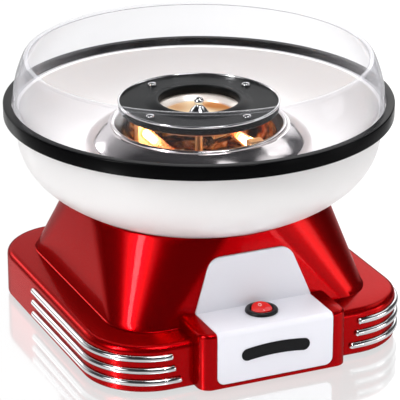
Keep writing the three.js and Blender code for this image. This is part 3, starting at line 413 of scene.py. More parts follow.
plinth = {"halfWidth": 123.4, "halfDepth": 123.75, "setback": 2.75, "bottom": 3.0, "top": 38.0,
          "corner": 48.0, "edgeRound": 5.0, "wall": 3.0, "footInset": 1.0, "footRise": 1.2}
tower = {"halfWidth": 102.4, "halfDepth": 102.75, "setback": 5.0, "footCorner": 33.0, "topCorner": 79.7,
         "lean": 0.16, "top": 100.2, "edgeRound": 0.6, "cornerSteps": 32, "levels": 12, "wall": 3.0,
         "deckTop": 88.0, "deckThickness": 4.0, "deckHole": 17.0, "screwHole": 1.8, "screwReach": 28.0,
         "openingInset": 10.0, "fillet": 0.5, "cradleSlack": 0.2}
plinthFront = plinth["halfDepth"] - plinth["setback"]
plinthRear = plinth["halfDepth"] + plinth["setback"]
towerFoot = plinth["top"] + seatGap


def plinthOuter(grow=0.0):
    def level(z, inset):
        return (z + grow, plinth["halfWidth"] - inset + grow, plinth["halfDepth"] - inset + grow,
                plinth["corner"] - inset + grow)
    bottom, top = plinth["bottom"], plinth["top"]
    foot = (bottom - 2 * grow, *level(0, plinth["footInset"])[1:])
    return roundedStack([foot, level(bottom + plinth["footRise"], 0),
                         *edgeLevels(top, plinth["edgeRound"], level)], setback=plinth["setback"])


def towerLevel(z, inset=0.0):
    rise = z - towerFoot
    share = rise / (tower["top"] - towerFoot)
    return (z, tower["halfWidth"] - tower["lean"] * rise - inset,
            tower["halfDepth"] - tower["lean"] * rise - inset,
            tower["footCorner"] + (tower["topCorner"] - tower["footCorner"]) * share - inset)


def towerOuter(grow=0.0):
    # square at its foot and almost round at its top
    count, shoulder = tower["levels"], tower["top"] - tower["edgeRound"]
    sides = [towerLevel(towerFoot + (shoulder - towerFoot) * t, -grow) for t in shares(count)[1:-1]]
    fillet = towerLevel(towerFoot - 2 * grow, -grow - tower["fillet"])
    return roundedStack([fillet, towerLevel(towerFoot + tower["fillet"], -grow), *sides,
                         *edgeLevels(tower["top"], tower["edgeRound"],
                                     lambda z, inset: towerLevel(z, inset - grow))],
                        tower["cornerSteps"], tower["setback"])


bowl = {"holeRadius": 61.6, "footWidth": 3.0, "bottom": 88.5, "cradleRadius": 69.7, "cradleZ": 90.8,
        "wallRadius": 136.0, "top": 167.0, "fullness": 3.2, "crowding": 1.25, "wall": 2.6, "steps": 30,
        "flangeRadius": 142.4, "flangeThickness": 2.4, "upstand": 8.0, "standRound": 2.0, "lipWidth": 0.8,
        "lipDrop": 0.5}
flangeTop = bowl["top"] + bowl["flangeThickness"]


def bowlOuterLine():
    hole, cradle = bowl["holeRadius"], bowl["cradleRadius"]
    points = [(hole, bowl["bottom"]), (hole + bowl["footWidth"], bowl["bottom"])]
    for t in shares(bowl["steps"]):
        share = t ** bowl["crowding"]
        radius = cradle + (bowl["wallRadius"] - cradle) * (1 - (1 - share) ** bowl["fullness"])
        points.append((radius, bowl["cradleZ"] + (bowl["top"] - bowl["cradleZ"]) * share))
    return points


def shifted(points, distance):
    # the same line, moved sideways by a distance at each of its points
    out = []
    for i, (radius, z) in enumerate(points):
        before, after = points[max(0, i - 1)], points[min(len(points) - 1, i + 1)]
        run = Vector((after[0] - before[0], after[1] - before[1])).normalized()
        out.append((radius - run.y * distance, z + run.x * distance))
    return out


def makeTower():
    piece = finishMesh("redTower", towerOuter())
    wall, deckBottom = tower["wall"], tower["deckTop"] - tower["deckThickness"]
    levels = [towerLevel(towerFoot - overshoot, wall), towerLevel(deckBottom, wall)]
    inside = finishMesh("inside", roundedStack(levels, tower["cornerSteps"], tower["setback"]))
    cradle = shifted(bowlOuterLine()[1:], -seatGap - tower["cradleSlack"])
    seat = finishMesh("seat", spunBody([(0, tower["deckTop"]), (bowl["holeRadius"], tower["deckTop"]),
                                        *cradle, (0, bowl["top"])], steps=160))
    low, high = deckBottom - tower["deckThickness"], tower["top"]
    holes = [finishMesh("hole", cylinderBody(tower["deckHole"], low, high, steps=64))]
    for x in (-tower["screwReach"], tower["screwReach"]):
        holes.append(finishMesh("hole", cylinderBody(tower["screwHole"], low, high, 24, (x, 0, 0))))
    cutWith(piece, "DIFFERENCE", [inside, seat, *holes])
    return dress(piece, candyLacquer, "base", "metallic_red_plastic", "tower_shell")


wiring = {"halfWidth": 21.0, "depth": 24.0, "bottom": 15.0}
gland = {"side": 62.0, "height": 18.0, "neck": 5.0}


def wiringSlot(bottom, top):
    half, wall = wiring["halfWidth"], plinth["wall"]
    return blockBody(-half, half, -plinthFront - wall, -plinthFront + wiring["depth"], bottom, top)


def makePlinth():
    piece = finishMesh("redPlinth", plinthOuter())
    wall, inset, top = plinth["wall"], tower["openingInset"], plinth["top"]
    hollow = (plinth["halfWidth"] - wall, plinth["halfDepth"] - wall, plinth["corner"] - wall)
    inside = finishMesh("inside", roundedStack(
        [(plinth["bottom"] - overshoot, *hollow), (top - wall, *hollow)], setback=plinth["setback"]))
    mouth = (tower["halfWidth"] - inset, tower["halfDepth"] - inset, tower["footCorner"] - inset)
    opening = finishMesh("opening", roundedStack(
        [(top - 2 * wall, *mouth), (top + overshoot, *mouth)], setback=tower["setback"]))
    slot = finishMesh("slot", wiringSlot(wiring["bottom"], top + overshoot))
    hole = cylinderBody(gland["neck"] + seatGap, -2 * wall, 2 * wall, steps=32)
    bmesh.ops.rotate(hole, cent=(0, 0, 0), matrix=Matrix.Rotation(math.pi / 2, 3, "X"), verts=hole.verts)
    bmesh.ops.translate(hole, vec=Vector((gland["side"], plinthRear, gland["height"])) * mm, verts=hole.verts)
    cutWith(piece, "DIFFERENCE", [inside, opening, slot, finishMesh("glandHole", hole)])
    return dress(piece, candyLacquer, "base", "metallic_red_plastic", "plinth_shell")


controlBox = {"halfWidth": 58.0, "front": 136.3, "top": 47.3, "bottom": 4.2, "corner": 9.0, "edgeRound": 3.0,
              "wall": 3.0, "rear": 40.0, "neckRadius": 10.0, "switchY": -111.5, "softEdge": 0.9}
panel = {"halfWidth": 45.8, "topHalfWidth": 31.5, "thickness": 2.0, "bottom": 7.0, "top": 85.8, "bend": 4.0,
         "corner": 6.0, "topCorner": 8.5, "cornerSteps": 10, "softEdge": 0.5, "kinkRise": 1.0,
         "cutDepth": 160.0}
shelfTop = controlBox["top"]


def prismBody(outline, axisMap, depth):
    # a flat face through the outline's points, mapped into space by axisMap and pushed through by depth
    bm = bmesh.new()
    corners = [bm.verts.new(axisMap(*point)) for point in outline]
    face = bm.faces.new(corners)
    made = bmesh.ops.extrude_face_region(bm, geom=[face])
    bmesh.ops.translate(bm, vec=depth, verts=[v for v in made["geom"] if isinstance(v, bmesh.types.BMVert)])
    bmesh.ops.recalc_face_normals(bm, faces=bm.faces)
    return bm


def panelLine(offset):
    # the bent sheet from the side, offset outwards from its back
    thick, lean = panel["thickness"], tower["lean"]
    frontY = -(controlBox["front"] - thick + offset)
    topZ = shelfTop - thick + offset

    def face(z):
        plain = tower["setback"] - (tower["halfDepth"] - lean * (z - towerFoot))
        return plain - (seatGap + offset) * math.hypot(1, lean)
    bend = panel["bend"] - thick + offset
    line = [(frontY, panel["bottom"] - overshoot)]
    for turn in [t * math.pi / 2 for t in shares(8)]:
        line.append((frontY + bend - bend * math.cos(turn), topZ - bend + bend * math.sin(turn)))
    high = panel["top"] + overshoot
    return line + [(face(topZ), topZ), (face(high), high)]


def panelOutline(grow):
    # from the front: rounded lower corners, a taper above the shelf and softly turned upper corners
    half, topHalf = panel["halfWidth"] + grow, panel["topHalfWidth"] + grow
    corner, bottom, top = panel["corner"] + grow, panel["bottom"] - grow, panel["top"] + grow
    kinkZ = shelfTop + panel["kinkRise"]
    lean = (half - topHalf) / (top - kinkZ)
    right = []
    for turn in [(t - 1) * math.pi / 2 for t in shares(panel["cornerSteps"])]:
        right.append((half - corner + corner * math.cos(turn), bottom + corner + corner * math.sin(turn)))
    right.append((half, kinkZ))
    turned = panel["topCorner"] + grow
    bends = [(topHalf + lean * turned, top - turned), (topHalf, top), (topHalf - turned, top)]
    for t in shares(panel["cornerSteps"]):
        right.append(tuple((1 - t) ** 2 * low + 2 * t * (1 - t) * tip + t * t * high
                           for low, tip, high in zip(*bends)))
    return right + [(-x, z) for x, z in reversed(right)]


def panelSheet(name, inner, outer, grow=0.0):
    side = panelLine(outer) + list(reversed(panelLine(inner)))
    half = panel["halfWidth"] + grow + overshoot
    piece = finishMesh(name, prismBody(
        side, lambda y, z: (-half * mm, y * mm, z * mm), Vector((2 * half * mm, 0, 0))))
    front = finishMesh("outline", prismBody(
        panelOutline(grow), lambda x, z: (x * mm, 0.0, z * mm), Vector((0, -panel["cutDepth"] * mm, 0))))
    cutWith(piece, "INTERSECT", [front])
    return piece


def boxBlock(inset, front, top, bottom):
    halfY = (front - controlBox["rear"]) / 2

    def level(z, extra):
        away = inset + extra
        return (z, controlBox["halfWidth"] - away, halfY - extra, controlBox["corner"] - away)
    return roundedStack([level(bottom, 0), *edgeLevels(top, controlBox["edgeRound"], level)], segments=10,
                        setback=-(front + controlBox["rear"]) / 2)


def neckHole(bottom):
    return finishMesh("neck", cylinderBody(controlBox["neckRadius"] + seatGap, bottom, shelfTop + overshoot,
                                           centre=(0, controlBox["switchY"], 0)))


def makeControlBox():
    wall, top = controlBox["wall"], controlBox["top"]
    lined = wall + panel["thickness"] + seatGap
    piece = finishMesh("redControlBox", boxBlock(0, controlBox["front"], top, controlBox["bottom"]))
    cavity = finishMesh("cavity", boxBlock(wall, controlBox["front"] - lined, top - lined,
                                           controlBox["bottom"] + wall))
    recess = panelSheet("recess", -seatGap, panel["thickness"] + overshoot, seatGap)
    slot = finishMesh("slot", wiringSlot(wiring["bottom"] + seatGap, top - lined))
    cutWith(piece, "DIFFERENCE", [finishMesh("plinthRoom", plinthOuter(seatGap)),
                                  finishMesh("towerRoom", towerOuter(seatGap)), recess, cavity,
                                  neckHole(top - 2 * lined), slot])
    soften(piece, controlBox["softEdge"], angle=50)
    return dress(piece, candyLacquer, "base", "metallic_red_plastic", "control_box")


makeTower()
makePlinth()
makeControlBox()
print("red housing made")


# White panel: one bent sheet, cut to its tapering outline, flush in the box

def makePanel():
    piece = panelSheet("whitePanel", 0.0, panel["thickness"])
    cutWith(piece, "DIFFERENCE", [neckHole(shelfTop - 2 * panel["thickness"])])
    soften(piece, panel["softEdge"])
    return dress(piece, panelAbs, "base", "white_panel_plastic", "control_panel")


makePanel()


# A plain dark plate, slightly arched, on the front of the panel

darkPlate = {"halfLength": 27.0, "height": 9.5, "arch": 2.4, "middle": 26.6, "thickness": 0.5, "sink": 0.02,
             "softEdge": 0.15, "steps": 24, "capSteps": 10}


def makeDarkPlate():
    half, end, capSteps = darkPlate["halfLength"], darkPlate["height"] / 2, darkPlate["capSteps"]
    upper, lower = [], []
    for t in shares(darkPlate["steps"]):
        x = (2 * t - 1) * (half - end)
        rise = darkPlate["middle"] + darkPlate["arch"] * (1 - (x / half) ** 2)
        upper.append((x, rise + end))
        lower.append((x, rise - end))
    middle = (upper[-1][1] + lower[-1][1]) / 2
    turns = [(0.5 - t) * math.pi for t in shares(capSteps)[1:-1]]
    rightTip, leftTip = [[(side * (half - end + end * math.cos(a)), middle + side * end * math.sin(a))
                          for a in turns] for side in (1, -1)]
    backY = darkPlate["sink"] - controlBox["front"]
    piece = finishMesh("darkPlate", prismBody(
        upper + rightTip + list(reversed(lower)) + leftTip, lambda x, z: (x * mm, backY * mm, z * mm),
        Vector((0, -darkPlate["thickness"] * mm, 0))))
    soften(piece, darkPlate["softEdge"], 2)
    return dress(piece, inkBlack, "base", "black_plastic")


makeDarkPlate()
print("panel made")


# Round rocker switch

switch = {"bezelRadius": 12.1, "bezelHeight": 2.2, "crown": 1.6, "crownFoot": 0.4, "window": 8.5,
          "windowEdge": 0.7, "bodyHalf": 7.6, "depth": 21.0, "neckLength": 9.0, "softEdge": 0.5,
          "rockerHalfWidth": 7.7, "rockerHalfLength": 6.9, "rockerDepth": 4.6, "rockerSoftEdge": 0.35,
          "endRise": 4.7, "dip": 0.4, "dipCurve": 1.15, "tilt": 10.0, "pivotDrop": 3.4,
          "ovalReach": (-12, 14)}
switchBlade = {"side": 4.0, "halfThickness": 0.4, "halfWidth": 3.2, "length": 7.0, "gap": 0.01}
bezelTop = shelfTop + seatGap + switch["bezelHeight"]
pivotZ = bezelTop - switch["pivotDrop"]
rockerPlace = moved(0, controlBox["switchY"], pivotZ) @ Matrix.Rotation(math.radians(switch["tilt"]), 4, "X")


def makeSwitchHousing():
    base, window, neck = shelfTop + seatGap, switch["window"], controlBox["neckRadius"]
    neckBottom, edge = shelfTop - switch["neckLength"], switch["windowEdge"]
    floor = pivotZ - switch["rockerDepth"] - 2 * seatGap
    line = [(0, neckBottom), (neck, neckBottom), (neck, base), (switch["bezelRadius"], base)]
    crown, foot = switch["crown"], switch["crownFoot"]
    for turn in [t * math.pi / 2 for t in shares(6)]:
        line.append((switch["bezelRadius"] - crown + crown * math.cos(turn),
                     base + foot + (switch["bezelHeight"] - foot) * math.sin(turn)))
    line += [(window + edge, bezelTop), (window, bezelTop - edge), (window, floor), (0, floor)]
    bm = spunBody(line, 96, (0, controlBox["switchY"], 0))
    return dress(finishMesh("switchBezel", bm), blackNylon, "base", "black_plastic", "switch_housing")


def makeSwitchBody():
    half, bottom, y = switch["bodyHalf"], shelfTop - switch["depth"], controlBox["switchY"]
    thin, wide, gap = switchBlade["halfThickness"], switchBlade["halfWidth"], switchBlade["gap"]
    piece = finishMesh("switchBody", blockBody(-half, half, y - half, y + half, bottom,
                                               shelfTop - switch["neckLength"] - gap))
    soften(piece, switch["softEdge"])
    dress(piece, blackNylon, "base", "black_plastic")
    for name, x in (("switchBladeLeft", -switchBlade["side"]), ("switchBladeRight", switchBlade["side"])):
        bm = blockBody(x - thin, x + thin, y - wide, y + wide, bottom - switchBlade["length"], bottom - gap)
        dress(finishMesh(name, bm), zincSteel, "base", "zinc_steel")


def rockerTop(y):
    # the top dips from both ends to the middle, as a rocker does
    end = switch["rockerHalfLength"]
    middle = switch["endRise"] - end * math.tan(math.radians(switch["tilt"])) - switch["dip"]
    return middle + (switch["endRise"] - middle) * (abs(y) / end) ** switch["dipCurve"]


def makeRocker():
    end, half = switch["rockerHalfLength"], switch["rockerHalfWidth"]
    under = [(end * math.cos(a), switch["rockerDepth"] * math.sin(a))
             for a in [math.pi * (1 + t) for t in shares(16)]]
    over = [(y, rockerTop(y)) for y in [end * (1 - 2 * t) for t in shares(24)[:-1]]]
    body = prismBody(under + over, lambda y, z: (-half * mm, y * mm, z * mm), Vector((2 * half * mm, 0, 0)))
    piece = finishMesh("rockerButton", body)
    oval = cylinderBody(1, *switch["ovalReach"], steps=96)
    bmesh.ops.scale(oval, vec=(half, end, 1), verts=oval.verts)
    cutWith(piece, "INTERSECT", [finishMesh("oval", oval)])
    piece.data.transform(rockerPlace)
    soften(piece, switch["rockerSoftEdge"], angle=50)
    return dress(piece, switchRed, "rocker", "red_switch_plastic", "switch_rocker")


mark = {"ring": 0.9, "bar": 1.2, "place": 3.7, "line": 0.4, "rise": 0.1, "sink": 0.04}  # off O and on I


def makeMarks():
    inner, outer, rise = mark["ring"], mark["ring"] + mark["line"], mark["rise"]
    ring = spunBody([(inner, 0), (outer, 0), (outer, rise), (inner, rise)], steps=40)
    bar = blockBody(-mark["line"] / 2, mark["line"] / 2, -mark["bar"], mark["bar"], 0, rise)
    bmesh.ops.subdivide_edges(bar, edges=bar.edges, cuts=3, use_grid_fill=True)
    for name, bm, y in (("offMark", ring, mark["place"]), ("onMark", bar, -mark["place"])):
        bmesh.ops.translate(bm, vec=(0, y * mm, 0), verts=bm.verts)
        for vert in bm.verts:
            vert.co.z += (rockerTop(vert.co.y / mm) - mark["sink"]) * mm
        piece = finishMesh(name, bm)
        piece.data.transform(rockerPlace)
        dress(piece, printWhite, "rocker", "white_panel_plastic")


makeSwitchHousing()
makeSwitchBody()
makeRocker()
makeMarks()
print("switch made")


# Chrome strips round the front corners

strip = {"count": 3, "height": 5.0, "proud": 2.4, "lowest": 10.6, "pitch": 9.4, "rearEnd": 30.3, "drop": 1.0,
         "frontEnd": 66.5, "stagger": 4.4, "sectionSteps": 14, "cornerSteps": 24, "capSteps": 5,
         "capTurn": 78.0, "leastRun": 0.01}


def moveEnd(bm, loop, vec):
    made = bmesh.ops.extrude_edge_only(bm, edges=loop)["geom"]
    verts = [g for g in made if isinstance(g, bmesh.types.BMVert)]
    bmesh.ops.translate(bm, vec=vec, verts=verts)
    return [g for g in made if isinstance(g, bmesh.types.BMEdge) and all(v in verts for v in g.verts)]


def capEnd(bm, loop, middle, along):
    # a domed end: smaller and smaller sections, each a little further on, and a last small face
    reach, scale, before = strip["height"] / 2 * mm, 1.0, 0.0
    for t in shares(strip["capSteps"])[1:]:
        turn = t * math.radians(strip["capTurn"])
        step = along * reach * (math.sin(turn) - math.sin(before))
        loop = moveEnd(bm, loop, step)
        middle = middle + step
        verts = list({v for e in loop for v in e.verts})
        ratio = math.cos(turn) / scale
        bmesh.ops.scale(bm, vec=(ratio, ratio, ratio), space=Matrix.Translation(-middle), verts=verts)
        scale, before = math.cos(turn), turn
    bmesh.ops.contextual_create(bm, geom=loop)


def makeStrip(level, side):
    z, half = strip["lowest"] + level * strip["pitch"], strip["height"] / 2
    frontEnd = strip["frontEnd"] + level * strip["stagger"] + half
    cornerX = plinth["halfWidth"] - plinth["corner"]
    cornerY = -(plinthFront - plinth["corner"])
    wallY = -(plinthFront + seatGap)
    startX = min(frontEnd, cornerX)
    bm = bmesh.new()
    verts = []
    for turn in [(t - 0.5) * math.pi for t in shares(strip["sectionSteps"])]:
        verts.append(bm.verts.new((startX * mm, (wallY - strip["proud"] * math.cos(turn)) * mm,
                                   (z + half * math.sin(turn)) * mm)))
    first = [bm.edges.new(pair) for pair in zip(verts, verts[1:] + verts[:1])]
    loop = moveEnd(bm, first, Vector(((cornerX - startX + strip["leastRun"]) * mm, 0, 0)))
    sweep = bmesh.ops.spin(bm, geom=list({v for e in loop for v in e.verts}) + loop,
                           cent=(cornerX * mm, cornerY * mm, 0), axis=(0, 0, 1), dvec=(0, 0, 0),
                           angle=math.pi / 2, steps=strip["cornerSteps"])
    last = [g for g in sweep["geom_last"] if isinstance(g, bmesh.types.BMEdge)]
    run, slope = strip["rearEnd"] - half - cornerY, strip["drop"] / (strip["rearEnd"] - cornerY)
    last = moveEnd(bm, last, Vector((0, run, -slope * run)) * mm)
    capEnd(bm, first, Vector((startX, wallY, z)) * mm, Vector((-1, 0, 0)))
    rear = Vector((plinth["halfWidth"] + seatGap, strip["rearEnd"] - half, z - slope * run)) * mm
    capEnd(bm, last, rear, Vector((0, 1, -slope)))
    if side == "left":
        bmesh.ops.scale(bm, vec=(-1, 1, 1), verts=bm.verts)
    piece = finishMesh(f"chromeStrip{side.capitalize()}{level + 1}", bm, 50)
    return dress(piece, chromePlate, "base", "chrome_trim", f"trim_{side}_{level + 1}")


for stripSide in ("right", "left"):
    for stripLevel in range(strip["count"]):
        makeStrip(stripLevel, stripSide)
print("chrome strips made")


# Bowl, rim and collar

rim = {"radius": 145.0, "innerRadius": 138.6, "top": 175.0, "bottom": 164.4, "lipInner": 136.6, "edge": 1.0}
collar = {"mouthRadius": 62.4, "roll": 1.9, "top": 156.5, "creaseRadius": 79.5, "creaseZ": 145.6,
          "shoulderRadius": 82.0, "shoulderZ": 143.3, "wallRadius": 83.7, "wallZ": 138.0, "footRadius": 87.0,
          "footZ": 101.5, "sheet": 1.2, "belly": 2.0, "swell": 0.3, "beadTurn": 1.25}


def makeBowl():
    outer = bowlOuterLine()
    inner = shifted(outer, bowl["wall"])[3:-1]
    hole, floor, lip = bowl["holeRadius"], bowl["bottom"] + bowl["wall"], bowl["bottom"] + bowl["upstand"]
    stand, curve, width, drop = hole + bowl["wall"], bowl["standRound"], bowl["lipWidth"], bowl["lipDrop"]
    line = [*outer, (bowl["flangeRadius"], bowl["top"]), (bowl["flangeRadius"], flangeTop),
            (bowl["wallRadius"] - bowl["wall"], flangeTop), *reversed(inner),
            (stand + curve, floor), (stand, floor + curve), (stand, lip - drop), (stand - width, lip),
            (hole + width, lip), (hole, lip - drop)]
    return dress(finishMesh("whiteBowl", spunBody(line, steps=160)), bowlPlastic, "bowl",
                 "white_bowl_plastic", "bowl_shell")


def roundedCorner(centre, radius, start, steps=5):
    # a quarter round in a profile, turning from the angle start by a quarter turn
    turns = [math.radians(start + 90 * t) for t in shares(steps)]
    return [(centre[0] + radius * math.cos(a), centre[1] + radius * math.sin(a)) for a in turns]


def makeRim():
    edge, groove = rim["edge"], bowl["flangeRadius"] + seatGap
    line = [(rim["lipInner"], rim["bottom"]),
            *roundedCorner((rim["radius"] - edge, rim["bottom"] + edge), edge, -90),
            *roundedCorner((rim["radius"] - edge, rim["top"] - edge), edge, 0),
            *roundedCorner((rim["innerRadius"] + edge / 2, rim["top"] - edge / 2), edge / 2, 90),
            (rim["innerRadius"], flangeTop + seatGap), (groove, flangeTop + seatGap),
            (groove, bowl["top"] - seatGap), (rim["lipInner"], bowl["top"] - seatGap)]
    return dress(finishMesh("blackRim", spunBody(line, steps=192)), rimAbs, "bowl", "satin_black_rim",
                 "rim_ring")


def makeCollar():
    sheet, roll = collar["sheet"], collar["roll"]
    mouth = (collar["mouthRadius"] + 2 * roll - sheet, collar["top"] - roll)
    crease = (collar["creaseRadius"], collar["creaseZ"])
    shoulder, wall = (collar["shoulderRadius"], collar["shoulderZ"]), (collar["wallRadius"], collar["wallZ"])
    flank = [(mouth[0] + (crease[0] - mouth[0]) * t, mouth[1] + (crease[1] - mouth[1]) * t
              + sheet * collar["belly"] * t * (1 - t)) for t in shares(6)]
    between = ((shoulder[0] + wall[0]) / 2 + collar["swell"], (shoulder[1] + wall[1]) / 2)
    inner = [*flank, shoulder, between, wall, (collar["footRadius"], collar["footZ"])]
    outer = shifted(inner, sheet)
    outer[-1] = (inner[-1][0] + sheet, inner[-1][1])
    bead = [(collar["mouthRadius"] + roll * (1 + math.cos(a)), collar["top"] - roll * (1 - math.sin(a)))
            for a in [math.pi * collar["beadTurn"] * (1 - t) for t in shares(14)]]
    piece = finishMesh("spunCollar", spunBody([*bead, *outer[1:], *reversed(inner)], steps=160), 24)
    return dress(piece, spunAluminium, "bowl", "polished_aluminium", "heat_collar")


guard = {"footRadius": 138.1, "topRadius": 129.4, "top": 208.6, "wall": 2.1, "straight": 5.0, "curve": 1.84,
         "lip": 4.0, "edge": 1.0, "steps": 16}


def makeGuard():
    foot, top, wall, edge = flangeTop + seatGap, guard["top"], guard["wall"], guard["edge"]
    start = foot + guard["straight"]

    def radiusAt(z):
        share = (z - start) / (top - start)
        return guard["footRadius"] - (guard["footRadius"] - guard["topRadius"]) * share ** guard["curve"]
    levels = [start + (top - start) * t for t in shares(guard["steps"])[:-1]]
    outer = [(radiusAt(z), z) for z in levels if z < top - edge]
    inner = [(radiusAt(z) - wall, z) for z in levels if z < top - wall]
    mouth = guard["topRadius"] - guard["lip"] + wall / 2
    line = [(guard["footRadius"], foot), *outer,
            *roundedCorner((guard["topRadius"] - edge, top - edge), edge, 0),
            *roundedCorner((mouth, top - wall / 2), wall / 2, 90, 8), (mouth, top - wall),
            *reversed(inner), (guard["footRadius"] - wall, foot)]
    piece = finishMesh("clearGuard", spunBody(line, steps=160), 50)
    return dress(piece, clearAcrylic, "guard", "clear_guard_plastic", "floss_guard")


makeBowl()
makeRim()
makeCollar()
makeGuard()
print("bowl, rim, collar and guard made")


# Heater: polished dish, quartz tubes with glowing wire

dish = {"radius": 58.5, "top": 149.0, "floor": 127.0, "floorRadius": 40.0, "sheet": 1.2, "hole": 9.0}
tube = {"radius": 4.6, "wall": 0.8, "endWall": 1.5, "endRound": 0.6, "halfLength": 32.0, "offset": 31.0,
        "height": 141.0, "wire": 0.55, "coilRadius": 2.5, "coilInset": 3.0, "turns": 16, "stepsPerTurn": 20}


def makeDish():
    def line(offset):
        return [(dish["floorRadius"] + (dish["radius"] - dish["floorRadius"] - offset) * math.sin(a),
                 dish["floor"] - dish["sheet"] + offset + (dish["top"] - dish["floor"]) * (1 - math.cos(a)))
                for a in [t * math.pi / 2 for t in shares(16)]]
    profile = [(dish["hole"], dish["floor"] - dish["sheet"]), *line(0), *reversed(line(dish["sheet"])),
               (dish["hole"], dish["floor"])]
    return dress(finishMesh("reflectorDish", spunBody(profile)), warmReflector, "base",
                 "polished_aluminium", "reflector_dish")


def layAlongY(bm, x):
    bmesh.ops.rotate(bm, cent=(0, 0, 0), matrix=Matrix.Rotation(math.pi / 2, 3, "X"), verts=bm.verts)
    bmesh.ops.translate(bm, vec=Vector((x, 0, tube["height"])) * mm, verts=bm.verts)


def makeHeaterTube(side, x):
    outer, inner, half = tube["radius"], tube["radius"] - tube["wall"], tube["halfLength"]
    soft, boreHalf = tube["endRound"], half - tube["endWall"]
    bm = spunBody([(0, -half), (outer - soft, -half), (outer, -half + soft), (outer, half - soft),
                   (outer - soft, half), (0, half)], steps=40)
    hollow = cylinderBody(inner, -boreHalf, boreHalf, steps=40)
    layAlongY(bm, x)
    layAlongY(hollow, x)
    piece = finishMesh(f"quartzTube{side}", bm, 50)
    cutWith(piece, "DIFFERENCE", [finishMesh("bore", hollow)])
    dress(piece, fusedQuartz, "base", "glowing_quartz", f"heater_tube_{side.lower()}")
    coil, turns, steps = bmesh.new(), tube["turns"], tube["turns"] * tube["stepsPerTurn"]
    start = tube["coilInset"] - half
    made = bmesh.ops.create_circle(coil, segments=8, radius=tube["wire"] * mm, cap_ends=False,
                                   matrix=moved(tube["coilRadius"], 0, start)
                                   @ Matrix.Rotation(math.pi / 2, 4, "X"))
    edges = list(coil.edges)
    sweep = bmesh.ops.spin(coil, geom=made["verts"] + edges, cent=(0, 0, 0), axis=(0, 0, 1),
                           dvec=(0, 0, -2 * start / steps * mm), angle=2 * math.pi * turns, steps=steps)
    last = [g for g in sweep["geom_last"] if isinstance(g, bmesh.types.BMEdge)]
    bmesh.ops.contextual_create(coil, geom=last)
    bmesh.ops.contextual_create(coil, geom=edges)
    layAlongY(coil, x)
    dress(finishMesh(f"heaterCoil{side}", coil, 60), hotWire, "base", "glowing_quartz")


makeDish()
makeHeaterTube("Left", -tube["offset"])
makeHeaterTube("Right", tube["offset"])
print("heater made")


# Spinning head

head = {"radius": 60.4, "plateTop": 171.4, "panFloor": 160.0, "shaftRadius": 3.0, "shaftTop": 164.5}
headScrew = {"circle": 50.0, "phase": 21.0, "headRadius": 3.3, "shankRadius": 1.5, "height": 2.2,
             "length": 8.0, "rimShare": 0.35, "recess": [(0.9, 0.0), (0.7, 0.5), (0.0, 0.5)]}


def screwSpots():
    turns = [math.radians(headScrew["phase"] + 90 * i) for i in range(4)]
    return [(headScrew["circle"] * math.cos(a), headScrew["circle"] * math.sin(a), 0) for a in turns]


def screwHoles(bottom, top):
    return [finishMesh("hole", cylinderBody(headScrew["shankRadius"] + seatGap, bottom, top, 24, spot))
            for spot in screwSpots()]


headPlate = {"overhang": 0.3, "thickness": 2.0, "holeRadius": 30.0, "holeRise": 2.2, "innerSkirt": 5.8,
             "lipFlat": 1.0, "lipRound": 0.3, "slope": 10.0,
             # round the outer skirt, in from the plate's edge and down from its top
             "skirtLine": [(2.8, 2.0), (2.0, 2.8), (2.6, 4.7), (2.0, 5.2), (1.1, 5.2), (0.5, 4.6), (0.0, 0.6),
                           (0.2, 0.0)]}


def makeHeadPlate():
    top, thick, hole = head["plateTop"], headPlate["thickness"], headPlate["holeRadius"]
    outer, rise, flat = head["radius"] - headPlate["overhang"], headPlate["holeRise"], headPlate["lipFlat"]
    lip, soft = top + rise, headPlate["lipRound"]
    skirtFoot = lip - headPlate["innerSkirt"]
    raised = [(hole + flat + headPlate["slope"] * t, lip - rise * (3 * t * t - 2 * t ** 3))
              for t in shares(8)]
    under = [(radius, z - thick) for radius, z in raised[1:]]
    skirt = [(outer - inwards, top - down) for inwards, down in headPlate["skirtLine"]]
    line = [(hole, skirtFoot), (hole + thick, skirtFoot), (hole + thick, lip - thick), *under, *skirt,
            *reversed(raised), (hole + soft, lip - soft), (hole, lip - flat)]
    piece = finishMesh("headPlate", spunBody(line))
    cutWith(piece, "DIFFERENCE", screwHoles(top - 3 * thick, top + thick))
    return dress(piece, plateEnamel, "head", "black_head_plate", "head_plate")


headRing = {"width": 1.6, "top": 173.1}


def makeHeadRing():
    # a thin bead with a round top, on the plate's edge
    half, middle = headRing["width"] / 2, head["radius"] - headRing["width"] / 2
    seat, top = head["plateTop"] + seatGap, headRing["top"]
    crown = [(middle + half * math.cos(a), top - half + half * math.sin(a))
             for a in [t * math.pi for t in shares(12)]]
    line = [(middle - half, seat), (middle + half, seat), *crown]
    return dress(finishMesh("headRing", spunBody(line, steps=160), 60), chromePlate, "head", "chrome_trim",
                 "head_ring")


headPan = {"radius": 55.5, "sheet": 1.4, "rimZ": 165.0, "hubRadius": 8.0, "hubBottom": 153.0,
           "padRadius": 6.0, "padHeight": 2.0, "slotHalf": (6.5, 1.5), "slotTop": 157.8, "underFrom": 40.0,
           "underRun": 13.5, "underRise": 6.4,
           # radius and height over the floor: a groove at the foot of the well's wall, then the wall
           "floorLine": [(9.0, 2.0), (25.8, 2.2), (26.2, 1.7), (26.8, 1.7)], "wellFoot": (27.0, 2.2),
           "wellTop": (31.5, 6.7), "wellFullness": 0.8, "rimLine": [(32.6, 6.8), (52.3, 6.4)]}


